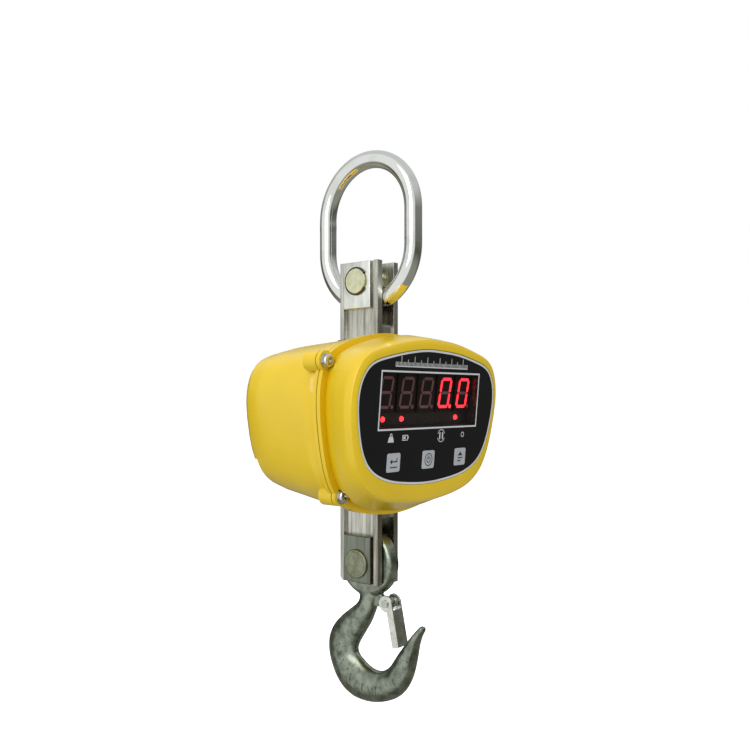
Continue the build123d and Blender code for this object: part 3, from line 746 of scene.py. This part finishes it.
# ---- load frame ------------------------------------------------------------------------------
@dataclass
class LoadFrame:
    """Channels, pads, pins, circlips and the load cell."""

    edge: float = 0.0005
    pin_dimple: float = 0.0016

    def build(self) -> None:
        """Add the refined channels and pads, and the centre marks in the pins' ends."""
        # Each row's pads take their own copy of the pad steel: painted highlight on the upper row, painted shade on
        # the lower row.
        for row, pad_steel in (("upper", UPPER_PAD_PAINTED_HIGHLIGHT_STEEL), ("lower", LOWER_PAD_PAINTED_SHADE_STEEL)):
            for side in ("left", "right"):
                for part, slot, finish in (("channel", "channel_steel", CHANNEL_STEEL),
                                           ("pad", "pad_steel", pad_steel)):
                    node = f"{row}_{part}_{side}"
                    piece = add_piece(f"{node}_body", welded_copy(node, 25.0, flat=True), Body.SCALE.value,
                                      finish, [node])
                    soften(piece, self.edge)
        self.build_centre_marks()

    def build_centre_marks(self) -> None:
        """Add the lathe centre marks in the pins' ends."""
        for name, node, finish in (("upper", "upper_pin", UPPER_PIN_FACE), ("lower", "lower_pin", LOWER_PIN_FACE_PAINTED_SHADE)):
            low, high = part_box(node)
            middle = (low.z + high.z) / 2
            for side, x in (("left", low.x), ("right", high.x)):
                face = Matrix.Translation((x, 0, middle)) @ Matrix.Rotation(math.radians(-90 if x < 0 else 90), 4, "Y")
                rim, dip = self.pin_dimple, self.pin_dimple * 0.5
                profile = [(rim * 1.5, -0.0001), (rim * 1.45, 0.00006), (rim, 0.00002), (rim * 0.4, -dip * 0.1), (0.0, -dip * 0.2)]
                add_piece(f"{name}_pin_centre_{side}", lathe(profile, face, 28), Body.SCALE.value, finish)

    def dress(self) -> None:
        """Give the CAD pieces of the frame their finishes."""
        dress("upper_pin", UPPER_PIN_FACE)
        dress("lower_pin", LOWER_PIN_FACE_PAINTED_SHADE)
        dress("pin_circlips", CIRCLIP_STEEL)
        dress("load_cell", CELL_STEEL)
        dress("load_cell_bolts", FASTENER)
        dress("load_cell_nuts", FASTENER)
        dress("gauge_plugs", BLACK_RUBBER)


# ---- housing ---------------------------------------------------------------------------------
@dataclass
class Housing:
    """The two enamelled shells with their seal, screws and grommets."""

    crease: float = 38.0

    def build(self) -> None:
        """Add the shells, shaded smooth across their sections."""
        for node in ("front_cover", "rear_housing"):
            add_piece(f"{node}_shell", welded_copy(node, self.crease), Body.SCALE.value, YELLOW, [node])

    def dress(self) -> None:
        """Give the seal, grommets and fasteners their finishes."""
        for node in ("housing_gasket", "upper_grommet", "lower_grommet", "socket_cap"):
            dress(node, BLACK_RUBBER)
        for node in ("cover_screws", "cover_washers"):
            dress(node, BRIGHT_SCREW)
        for node in ("mounting_screws", "bracket_screws", "display_screws"):
            dress(node, FASTENER)
        for node in ("mounting_plate", "battery_bracket"):
            dress(node, BRACKET_STEEL)
        dress("battery", BATTERY_CASE)
        dress("charge_socket", SOCKET_PLASTIC)


# ---- display panel ---------------------------------------------------------------------------
@dataclass(frozen=True)
class PanelPlane:
    """The tilted face: across and up on it, and depth behind it, in millimetres."""

    horizon_z: float = -0.233
    front_y: float = -0.080
    tilt: float = 5.0

    def at(self, across: float, up: float, depth: float) -> Vector:
        """The point in the row frame, in metres."""
        lean = math.radians(self.tilt)
        return Vector((across * MM,
                       self.front_y + (depth * math.cos(lean) - up * math.sin(lean)) * MM,
                       self.horizon_z + (depth * math.sin(lean) + up * math.cos(lean)) * MM))

    def matrix(self, across: float, up: float, depth: float) -> Matrix:
        """A place on the panel whose local Z points out of it."""
        lean = math.radians(self.tilt)
        turn = Matrix(((1, 0, 0), (0, -math.sin(lean), -math.cos(lean)), (0, math.cos(lean), -math.sin(lean))))
        return Matrix.Translation(self.at(across, up, depth)) @ turn.to_4x4()


PANEL = PanelPlane()


def plates(shapes: Sequence[Sequence[Point2]], front: float, back: float) -> bpy.types.Mesh:
    """Thin prisms on the panel.

    Args:
        shapes: outlines in panel millimetres.
        front: depth of their front faces.
        back: depth of their back faces.

    Returns:
        One mesh with every prism.
    """
    points: list[Vector] = []
    faces: list[list[int]] = []
    for outline in shapes:
        start, count = len(points), len(outline)
        points += [PANEL.at(x, h, front) for x, h in outline]
        points += [PANEL.at(x, h, back) for x, h in outline]
        faces.append([start + k for k in range(count)])
        faces.append([start + count + k for k in reversed(range(count))])
        for k in range(count):
            nxt = (k + 1) % count
            faces.append([start + k, start + count + k, start + count + nxt, start + nxt])
    return mesh_from(points, faces, 30.0)


def rectangle(x0: float, x1: float, h0: float, h1: float) -> list[Point2]:
    """An upright rectangle's corners."""
    return [(x0, h0), (x1, h0), (x1, h1), (x0, h1)]


def ring_strip(x: float, h: float, inner: float, outer: float, start: float = 0.0, sweep: float = 360.0,
               steps: int = 28) -> list[list[Point2]]:
    """A ring or arc as four-cornered strips.

    Args:
        x: centre across.
        h: centre up.
        inner: inner radius.
        outer: outer radius.
        start: first angle in degrees.
        sweep: angle covered in degrees.
        steps: number of strips.

    Returns:
        The strips' outlines.
    """
    def spot(radius: float, i: int) -> Point2:
        turn = math.radians(start + sweep * i / steps)
        return (x + radius * math.cos(turn), h + radius * math.sin(turn))

    return [[spot(inner, i), spot(outer, i), spot(outer, i + 1), spot(inner, i + 1)] for i in range(steps)]


def frame_strip(outer: Sequence[float], line: float) -> list[list[Point2]]:
    """A rectangular line: outer (x0, x1, h0, h1) and its width inwards."""
    x0, x1, h0, h1 = outer
    return [rectangle(x0, x1, h1 - line, h1), rectangle(x0, x1, h0, h0 + line),
            rectangle(x0, x0 + line, h0 + line, h1 - line), rectangle(x1 - line, x1, h0 + line, h1 - line)]


@dataclass
class DisplayPanel:
    """Printed overlay, window, digits and lamps."""

    print_front: float = 0.24
    print_back: float = 0.34
    window: tuple[float, float, float, float] = (-78.0, 78.0, -28.8, 22.2)
    border_inset: float = 0.25
    border_line: float = 2.0
    outline_steps: int = 220
    tick_from: float = -60.0
    tick_to: float = 56.0
    tick_count: int = 59
    tick_low: float = 28.5
    digit_pitch: float = 31.1
    digit_up: float = 3.4
    digit_size: tuple[float, float] = (18.5, 30.0)
    digit_slant: float = 9.0
    bar: float = 2.8
    digit_front: float = 7.75
    lamps: tuple[float, ...] = (-62.0, -34.0, 55.0)
    lamp_up: float = -21.5
    label_up: float = -38.0
    point_radius: float = 1.9
    liner_gap: float = 0.05
    liner_sheet: float = 0.75
    liner_front: float = 2.55
    liner_back: float = 7.9
    edge_gap: float = 0.01
    edge_sheet: float = 0.07
    edge_front: float = 0.36
    edge_back: float = 2.5
    lamp_radius: float = 2.7

    def build(self) -> None:
        """Build the print, the bezel, the digits and the lamps."""
        self.build_print()
        self.build_bezel()
        for index in range(5):
            self.build_digit(index)
        self.build_lamps()

    def overlay_outline(self) -> list[Point2]:
        """The overlay's outer edge in panel millimetres, read from the CAD overlay."""
        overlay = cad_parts["panel_overlay"].data
        tree = BVHTree.FromPolygons([v.co for v in overlay.vertices], [tuple(p.vertices) for p in overlay.polygons])
        depth, reach = 0.9, 200.0
        centre = PANEL.at(0, -20, depth)
        found = []
        for i in range(self.outline_steps):
            turn = 2 * math.pi * i / self.outline_steps
            far = PANEL.at(reach * math.cos(turn), -20 + reach * math.sin(turn), depth)
            hit = tree.ray_cast(far, (centre - far).normalized())[0]
            share = (hit - centre).length / MM
            found.append((share * math.cos(turn), -20 + share * math.sin(turn)))
        return found

    def inset(self, outline: Sequence[Point2], amount: float) -> list[Point2]:
        """Move an anticlockwise outline inwards by an amount."""
        moved = []
        for i, (x, h) in enumerate(outline):
            before, after = outline[i - 1], outline[(i + 1) % len(outline)]
            run = Vector((after[0] - before[0], after[1] - before[1])).normalized()
            moved.append((x - run.y * amount, h + run.x * amount))
        return moved

    def build_print(self) -> None:
        """Border line, graduated strip, window line and small pictograms, printed on the overlay."""
        outline = self.overlay_outline()
        outer = self.inset(outline, self.border_inset)
        inner = self.inset(outline, self.border_inset + self.border_line)
        count = len(outline)
        border = [[outer[i], outer[(i + 1) % count], inner[(i + 1) % count], inner[i]] for i in range(count)]
        self.print_piece("panel_border", border)
        ticks = []
        for i in range(self.tick_count):
            x = self.tick_from + (self.tick_to - self.tick_from) * i / (self.tick_count - 1)
            rise = 9.0 if i % 10 == 4 else 6.0 if i % 5 == 4 else 3.6
            ticks.append(rectangle(x - 0.35, x + 0.35, self.tick_low, self.tick_low + rise))
        ticks.append(rectangle(self.tick_from - 0.35, self.tick_to + 0.35, self.tick_low - 0.9, self.tick_low))
        self.print_piece("panel_graduation", ticks)
        x0, x1, h0, h1 = self.window
        self.print_piece("window_line", frame_strip((x0 - 1.9, x1 + 1.9, h0 - 1.9, h1 + 1.9), 1.6))
        h = self.label_up
        weight = [[(-64.5, h - 3.6), (-55.5, h - 3.6), (-57.3, h + 1.6), (-62.7, h + 1.6)], *ring_strip(-60.0, h + 2.8, 0.9, 1.8)]
        self.print_piece("weight_mark", weight)
        cell = frame_strip((-43.2, -34.8, h - 2.6, h + 2.6), 0.8) + [rectangle(-34.8, -33.8, h - 1.1, h + 1.1),
                                                                    rectangle(-41.7, -38.2, h - 1.2, h + 1.2)]
        self.print_piece("battery_mark", cell)
        hold = [rectangle(15.6, 17.4, h - 3.4, h + 3.4), rectangle(20.2, 22.0, h - 3.4, h + 3.4),
                *ring_strip(18.8, h, 5.6, 6.3, 20, 140, 16), *ring_strip(18.8, h, 5.6, 6.3, 200, 140, 16)]
        self.print_piece("hold_mark", hold)
        self.print_piece("zero_mark", ring_strip(56.0, h, 1.9, 2.7))

    def print_piece(self, name: str, shapes: Sequence[Sequence[Point2]]) -> None:
        """Add one printed mark."""
        add_piece(name, plates(shapes, self.print_front, self.print_back), Body.SCALE.value, INK_SILVER)

    def build_bezel(self) -> None:
        """Walls and floor of the well behind the window."""
        x0, x1, h0, h1 = self.window
        wall, front, back = 1.0, 4.7, 11.5
        sides = [rectangle(x0 - wall, x0, h0, h1), rectangle(x1, x1 + wall, h0, h1),
                 rectangle(x0 - wall, x1 + wall, h1, h1 + wall), rectangle(x0 - wall, x1 + wall, h0 - wall, h0)]
        add_piece("display_well", plates(sides, front, back), Body.SCALE.value, BEZEL_BLACK)
        gap, sheet = self.liner_gap, self.liner_sheet
        liner = frame_strip((x0 + gap, x1 - gap, h0 + gap, h1 - gap), sheet)
        add_piece("display_liner", plates(liner, self.liner_front, self.liner_back), Body.SCALE.value,
                  BEZEL_BLACK)
        edge = frame_strip((x0 + self.edge_gap, x1 - self.edge_gap, h0 + self.edge_gap, h1 - self.edge_gap),
                           self.edge_sheet)
        add_piece("window_edge", plates(edge, self.edge_front, self.edge_back), Body.SCALE.value,
                  BEZEL_BLACK)
        low = self.digit_up - 18.6
        add_piece("display_mask", plates([rectangle(x0, x1, h0, low)], 10.2, 11.4), Body.SCALE.value,
                  BEZEL_BLACK)

    def segment_shapes(self, x: float) -> list[list[Point2]]:
        """Seven pointed bars of one slanted digit, its middle at x.

        Args:
            x: the digit's middle across the panel.

        Returns:
            The outlines of segments a to g.
        """
        width, height = self.digit_size
        half_x, half_h, half = width / 2 - self.bar / 2, height / 2 - self.bar / 2, self.bar / 2
        lean = math.tan(math.radians(self.digit_slant))
        gap = 0.45

        def slanted(points: Sequence[Point2]) -> list[Point2]:
            return [(x + px + ph * lean, self.digit_up + ph) for px, ph in points]

        def level(h: float) -> list[Point2]:
            low, high = -half_x + gap, half_x - gap
            return slanted([(low, h), (low + half, h - half), (high - half, h - half), (high, h),
                            (high - half, h + half), (low + half, h + half)])

        def upright(px: float, h0: float, h1: float) -> list[Point2]:
            low, high = h0 + gap, h1 - gap
            return slanted([(px, low), (px + half, low + half), (px + half, high - half), (px, high),
                            (px - half, high - half), (px - half, low + half)])

        return [level(half_h), upright(half_x, 0, half_h), upright(half_x, -half_h, 0), level(-half_h),
                upright(-half_x, -half_h, 0), upright(-half_x, 0, half_h), level(0)]

    def build_digit(self, index: int) -> None:
        """Segments of one digit; the last two show 0.0 and the others are dark."""
        x = (index - 2) * self.digit_pitch
        shapes = self.segment_shapes(x)
        lean = math.tan(math.radians(self.digit_slant))
        low = -self.digit_size[1] / 2 + 1.6
        point_x = x + self.digit_size[0] / 2 + 2.6 + low * lean
        angles = [2 * math.pi * k / 20 for k in range(20)]
        point = [(point_x + self.point_radius * math.cos(t), self.digit_up + low + self.point_radius * math.sin(t))
                 for t in angles]
        lit = shapes[:6] if index >= 3 else []
        dark = shapes[6:] if index >= 3 else list(shapes)
        (lit if index == 3 else dark).append(point)
        front, back = self.digit_front, self.digit_front + 0.4
        name = f"digit_{index + 1}"
        if lit:
            add_piece(f"{name}_lit", plates(lit, front, back), Body.SCALE.value, SEGMENT_LIT)
        add_piece(f"{name}_dark", plates(dark, front, back), Body.SCALE.value, SEGMENT_OFF)

    def build_lamps(self) -> None:
        """Domed lamps in place of the plain CAD ones."""
        dome = [(0.0, 0.0)]
        size = self.lamp_radius
        dome += [(size * math.sin(t), -size * (1 - math.cos(t)))
                 for t in (math.radians(a) for a in range(10, 91, 10))]
        dome += [(size, -6.0), (0.0, -6.0)]
        profile = [(r * MM, h * MM) for r, h in dome]
        for number, x in enumerate(self.lamps):
            mesh = lathe(profile, PANEL.matrix(x, self.lamp_up, 8.0), 32)
            stands_for = ["indicator_lamps"] if number == 0 else []
            add_piece(f"lamp_{number + 1}", mesh, Body.SCALE.value, LAMP_LIT, stands_for)

    def dress(self) -> None:
        """Give the overlay, window, digit blocks and boards their finishes."""
        dress("panel_overlay", OVERLAY_FILM)
        dress("display_lens", WINDOW)
        for index in range(5):
            dress(f"digit_{index + 1}", DIGIT_FACE)
        for node in ("display_board", "key_board", "main_board"):
            dress(node, BOARD)
        for node in ("display_standoffs", "key_board_posts", "main_board_posts"):
            dress(node, BRASS)
        dress("key_switches", SWITCH_PLASTIC)


# ---- keypad ----------------------------------------------------------------------------------
@dataclass
class Keypad:
    """Three push keys with generic marks."""

    places: dict[str, float] = field(default_factory=lambda: {"left": -54.0, "middle": 0.0, "right": 54.0})
    up: float = -60.5
    mark_front: float = -0.20
    mark_back: float = -0.05

    def marks(self, side: str) -> list[list[Point2]]:
        """The mark on one key.

        Args:
            side: which key.

        Returns:
            The outlines of its mark.
        """
        x, h = self.places[side], self.up
        if side == "left":
            return [rectangle(x - 3.0, x + 5.0, h + 0.4, h + 1.5), [(x - 5.6, h + 0.95), (x - 2.6, h - 1.5), (x - 2.6, h + 3.4)],
                    rectangle(x + 3.9, x + 5.0, h + 1.5, h + 4.4), rectangle(x - 5.0, x + 5.0, h - 4.8, h - 3.7)]
        if side == "middle":
            return [*ring_strip(x, h, 5.4, 6.3), *ring_strip(x, h, 2.3, 3.2, 125, 290, 22),
                    rectangle(x - 0.5, x + 0.5, h + 0.4, h + 4.0)]
        return [[(x - 4.2, h + 1.2), (x + 4.2, h + 1.2), (x, h + 5.0)], rectangle(x - 4.2, x + 4.2, h - 1.6, h - 0.5),
                rectangle(x - 4.2, x + 1.4, h - 4.6, h - 3.5)]

    def build(self) -> None:
        """Add the softened keys and their marks, each on its own body."""
        for side in self.places:
            node = f"key_{side}"
            add_piece(f"{node}_cap", welded_copy(node, 32.0), node, KEY_GREY, [node])
            add_piece(f"{node}_mark", plates(self.marks(side), self.mark_front, self.mark_back), node,
                      INK_BLACK)


# ---- hook ------------------------------------------------------------------------------------
@dataclass
class HookSet:
    """Forged eye hook, its latch, pin and spring."""

    voxel: float = 0.0010
    grain: float = 0.00012
    dents: float = 0.00040
    tally: int = 15
    tally_radius: float = 0.0430
    stroke_half: float = 0.0038
    stroke_lift: float = 0.0009
    bowl: tuple[float, float] = (-0.009, -0.484)
    coil_radius: float = 0.0041
    wire: float = 0.0006
    turns: float = 2.0
    leg: float = 0.013
    seed: int = 7

    def build(self) -> None:
        """Add the forging, its raised tally, the latch and the spring."""
        forging = self.forging()
        self.build_tally(forging)
        latch = add_piece("latch_plate", welded_copy("latch", 25.0, flat=True), Body.LATCH.value,
                          LATCH_ZINC, ["latch"])
        soften(latch, 0.0003)
        dress("latch_pin", FASTENER)
        self.build_spring()

    def forging(self) -> bpy.types.Object:
        """The hook remeshed evenly, with shallow hammer dents sunk into its skin.

        Returns:
            The hook's object.
        """
        source = bpy.data.objects.new("forging_source", welded_copy("hook", 60.0))
        bpy.context.scene.collection.objects.link(source)
        even = source.modifiers.new("even", "REMESH")
        even.mode = "VOXEL"
        even.voxel_size = self.voxel
        relax = source.modifiers.new("relax", "SMOOTH")
        relax.factor = 0.5
        relax.iterations = 4
        graph = bpy.context.evaluated_depsgraph_get()
        mesh = bpy.data.meshes.new_from_object(source.evaluated_get(graph))
        bpy.data.objects.remove(source)
        normals = [v.normal.copy() for v in mesh.vertices]
        for vertex, normal in zip(mesh.vertices, normals):
            spot = vertex.co
            dent = 0.5 + 0.5 * noise.noise(spot * 95.0)
            rough = 0.5 + 0.5 * noise.fractal(spot * 420.0, 0.8, 2.0, 3)
            vertex.co = spot - normal * (self.dents * dent + self.grain * max(0.0, min(1.0, rough)))
        return add_piece("hook_forging", smooth(mesh, 60.0), Body.HOOK.value, FORGING, ["hook"])

    def build_tally(self, forging: bpy.types.Object) -> None:
        """Short raised forging strokes round the bowl on both faces, generic and without lettering.

        Args:
            forging: the hook, whose skin the strokes stand on.
        """
        skin = BVHTree.FromPolygons([v.co for v in forging.data.vertices], [tuple(p.vertices) for p in forging.data.polygons])
        shape = bmesh.new()
        order = random.Random(self.seed)
        for side in (-1, 1):
            for i in range(self.tally):
                turn = math.radians(-172 + 165 * i / (self.tally - 1))
                radius = self.tally_radius
                y = self.bowl[0] + radius * math.cos(turn)
                z = self.bowl[1] + radius * math.sin(turn)
                lean = order.choice((-0.35, 0.0, 0.35))
                self.add_stroke(shape, skin, side, (y, z), turn + lean)
        mesh = bpy.data.meshes.new("tally")
        shape.to_mesh(mesh)
        shape.free()
        piece = add_piece("hook_tally", smooth(mesh, 40.0), Body.HOOK.value, FORGING)
        piece.modifiers.new("round", "SUBSURF").levels = 1
        piece.modifiers["round"].render_levels = 1

    def add_stroke(self, shape: bmesh.types.BMesh, skin: BVHTree, side: int, place: Point2, turn: float) -> None:
        """Add one raised stroke that follows the skin.

        Args:
            shape: the mesh being made.
            skin: the hook's surface.
            side: -1 or +1, the face along X.
            place: the stroke's middle (y, z).
            turn: its direction in the plane of the hook, in radians.
        """
        along, across = Vector((0, math.cos(turn), math.sin(turn))), Vector((0, -math.sin(turn), math.cos(turn)))
        sunk, proud = -0.0006, self.stroke_lift
        found = []
        for step in (-1.0, -0.5, 0.0, 0.5, 1.0):
            line = []
            for lift, shift in ((sunk, -0.0011), (proud, -0.0007), (proud, 0.0007), (sunk, 0.0011)):
                spot = Vector((0.03 * side, *place)) + along * step * self.stroke_half + across * shift
                hit, _, _, _ = skin.ray_cast(spot, Vector((-side, 0, 0)))
                if hit is None:
                    return
                line.append(hit + Vector((side * lift, 0, 0)))
            found.append(line)
        rows = [[shape.verts.new(point) for point in line] for line in found]
        for low, high in zip(rows, rows[1:]):
            for k in range(3):
                shape.faces.new((low[k], low[k + 1], high[k + 1], high[k]))
        shape.faces.new(rows[0])
        shape.faces.new(list(reversed(rows[-1])))

    def build_spring(self) -> None:
        """Two wound coils on the latch pin, each with a leg on the latch's side."""
        low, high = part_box("latch_pin")
        centre = (low + high) / 2
        boss = 0.0032
        for number, side in enumerate((-1, 1)):
            path = []
            steps = int(self.turns * 28)
            for i in range(steps + 1):
                turn = 2 * math.pi * self.turns * i / steps + math.pi
                x = side * (boss + self.wire + 2.3 * self.wire * self.turns * i / steps)
                path.append(centre + Vector((x, self.coil_radius * math.cos(turn), -self.coil_radius * math.sin(turn) * side)))
            end = path[-1]
            path += [end + Vector((0, -0.0006, -1.0)).normalized() * self.leg * k / 8 for k in range(1, 9)]
            mesh = tube(path, [self.wire] * len(path), 14, False)
            add_piece(f"spring_coil_{number + 1}", mesh, Body.HOOK.value, SPRING_WIRE,
                      ["latch_spring"] if number == 0 else [])


# ---- studio ----------------------------------------------------------------------------------
@dataclass
class Studio:
    """Floor, lights, surroundings and the camera."""

    distance: float = 0.867
    azimuth: float = -50.0
    eye_height: float = -0.233
    lens: float = 40.8
    shift: Point2 = (0.008, 0.0293)
    floor_z: float = -0.72
    even_light: float = 0.72
    floor_half: float = 40.0
    bright_side: float = -91.0
    bright_edge: Point2 = (0.42, 0.60)
    bright_colour: Colour = (0.95, 0.98, 0.96)

    def build(self) -> None:
        """Make the camera, the floor, the lights and the surroundings."""
        self.build_camera()
        self.build_floor()
        self.build_lights()
        self.build_surroundings()

    def toward(self) -> Vector:
        """Level direction from the object to the camera."""
        turn = math.radians(self.azimuth)
        return Vector((math.sin(turn), -math.cos(turn), 0))

    def build_camera(self) -> None:
        """Make the scene's camera, level and at eye height with the display."""
        data = bpy.data.cameras.new("camera")
        data.lens = self.lens
        data.sensor_width = 36.0
        data.shift_x, data.shift_y = self.shift
        data.clip_start, data.clip_end = 0.01, 60.0
        camera = bpy.data.objects.new("camera", data)
        camera.location = self.toward() * self.distance + Vector((0, 0, self.eye_height))
        camera.rotation_mode = "QUATERNION"
        camera.rotation_quaternion = (-self.toward()).to_track_quat("-Z", "Y")
        bpy.context.scene.collection.objects.link(camera)
        bpy.context.scene.camera = camera

    def build_floor(self) -> None:
        """Make a wide pale floor well below the hook."""
        half, z = self.floor_half, self.floor_z
        corners = [Vector((-half, -half, z)), Vector((half, -half, z)), Vector((half, half, z)), Vector((-half, half, z))]
        mesh = mesh_from(corners, [(0, 1, 2, 3)], 60.0)
        mesh.materials.append(material_of(PAPER))
        floor = bpy.data.objects.new("studio_floor", mesh)
        floor.visible_diffuse = False
        floor.visible_glossy = False
        bpy.context.scene.collection.objects.link(floor)

    def add_light(self, name: str, azimuth: float, rise: float, reach: float, size: Point2, power: float,
                  mirrored: bool = True) -> None:
        """Add a soft panel light aimed at the object.

        Args:
            name: the light's name.
            azimuth: direction from the object, as the camera's.
            rise: degrees above level.
            reach: distance in metres.
            size: width and height in metres.
            power: watts.
            mirrored: whether shiny surfaces show the panel itself.
        """
        data = bpy.data.lights.new(name, "AREA")
        data.shape = "RECTANGLE"
        data.size, data.size_y = size
        data.energy = power
        turn, lift = math.radians(azimuth), math.radians(rise)
        back = Vector((math.sin(turn) * math.cos(lift), -math.cos(turn) * math.cos(lift), math.sin(lift)))
        light = bpy.data.objects.new(name, data)
        light.location = Vector((0, 0, -0.25)) + back * reach
        light.rotation_mode = "QUATERNION"
        light.rotation_quaternion = back.to_track_quat("Z", "Y")
        light.visible_glossy = mirrored
        bpy.context.scene.collection.objects.link(light)

    def build_lights(self) -> None:
        """Key from the upper left, fill from the right, one overhead and one behind."""
        self.add_light("key_light", -80.0, 26.0, 1.7, (0.8, 1.8), 14.0)
        self.add_light("fill_light", 8.0, 8.0, 2.0, (0.5, 1.7), 6.0, mirrored=False)
        self.add_light("top_light", -40.0, 84.0, 1.6, (1.2, 1.2), 8.0, mirrored=False)
        self.add_light("rear_light", 140.0, 35.0, 2.0, (0.8, 1.4), 12.0, mirrored=False)

    def build_surroundings(self) -> None:
        """White to the camera, soft white for even light, and a darker workshop in reflections."""
        bpy.context.scene.view_settings.view_transform = "Standard"
        world = bpy.data.worlds.new("surroundings")
        bpy.context.scene.world = world
        world.use_nodes = True
        tree = world.node_tree
        tree.nodes.clear()
        path = tree.nodes.new("ShaderNodeLightPath")
        output = tree.nodes.new("ShaderNodeOutputWorld")
        white = self.background(tree, (1.0, 1.0, 1.0), 1.0)
        soft = self.background(tree, (0.93, 0.96, 1.0), self.even_light)
        dim = self.background(tree, (0.5, 0.5, 0.5), 1.0)
        tree.links.new(self.reflected_room(tree), dim.node.inputs["Color"])
        lit = self.choose(tree, path.outputs["Is Glossy Ray"], soft, dim)
        tree.links.new(self.choose(tree, path.outputs["Is Camera Ray"], lit, white), output.inputs["Surface"])

    def background(self, tree: bpy.types.NodeTree, colour: Colour, strength: float) -> bpy.types.NodeSocket:
        """Add one background colour and hand over its output."""
        made = tree.nodes.new("ShaderNodeBackground")
        made.inputs["Color"].default_value = (*colour, 1.0)
        made.inputs["Strength"].default_value = strength
        return made.outputs[0]

    def choose(self, tree: bpy.types.NodeTree, factor: bpy.types.NodeSocket, no: bpy.types.NodeSocket,
               yes: bpy.types.NodeSocket) -> bpy.types.NodeSocket:
        """Add a switch between two backgrounds."""
        made = tree.nodes.new("ShaderNodeMixShader")
        for slot, source in zip(made.inputs, (factor, no, yes)):
            tree.links.new(source, slot)
        return made.outputs[0]

    def reflected_room(self, tree: bpy.types.NodeTree) -> bpy.types.NodeSocket:
        """Colours of the room in reflections, from the dark floor level up to the pale ceiling."""
        where = tree.nodes.new("ShaderNodeTexCoord")
        split = tree.nodes.new("ShaderNodeSeparateXYZ")
        spread = tree.nodes.new("ShaderNodeMapRange")
        spread.inputs["From Min"].default_value = -1.0
        ramp = tree.nodes.new("ShaderNodeValToRGB")
        stops = ((0.30, (0.30, 0.30, 0.26)), (0.46, (0.10, 0.10, 0.075)), (0.58, (0.16, 0.17, 0.15)), (0.80, (0.70, 0.72, 0.72)))
        while len(ramp.color_ramp.elements) < len(stops):
            ramp.color_ramp.elements.new(0.5)
        for element, (position, colour) in zip(ramp.color_ramp.elements, stops):
            element.position = position
            element.color = (*colour, 1.0)
        tree.links.new(where.outputs["Generated"], split.inputs[0])
        tree.links.new(split.outputs["Z"], spread.inputs["Value"])
        tree.links.new(spread.outputs[0], ramp.inputs[0])
        facing = tree.nodes.new("ShaderNodeVectorMath")
        facing.operation = "DOT_PRODUCT"
        side = math.radians(self.bright_side)
        facing.inputs[1].default_value = (math.sin(side), -math.cos(side), 0.15)
        tree.links.new(where.outputs["Generated"], facing.inputs[0])
        share = tree.nodes.new("ShaderNodeMapRange")
        share.inputs["From Min"].default_value, share.inputs["From Max"].default_value = self.bright_edge
        tree.links.new(facing.outputs["Value"], share.inputs["Value"])
        mixed = tree.nodes.new("ShaderNodeMix")
        mixed.data_type = "RGBA"
        tree.links.new(share.outputs[0], mixed.inputs[0])
        tree.links.new(ramp.outputs[0], mixed.inputs[6])
        mixed.inputs[7].default_value = (*self.bright_colour, 1.0)
        return mixed.outputs[2]


def main() -> None:
    """Build the sub-assemblies in order, from the ring down to the hook, then the studio."""
    logging.basicConfig(level=logging.INFO, format="%(name)s %(message)s")
    LiftingRing().build()
    load_frame = LoadFrame()
    load_frame.build()
    load_frame.dress()
    housing = Housing()
    housing.build()
    housing.dress()
    panel = DisplayPanel()
    panel.build()
    panel.dress()
    Keypad().build()
    HookSet().build()
    Studio().build()


if __name__ == "__main__":
    main()
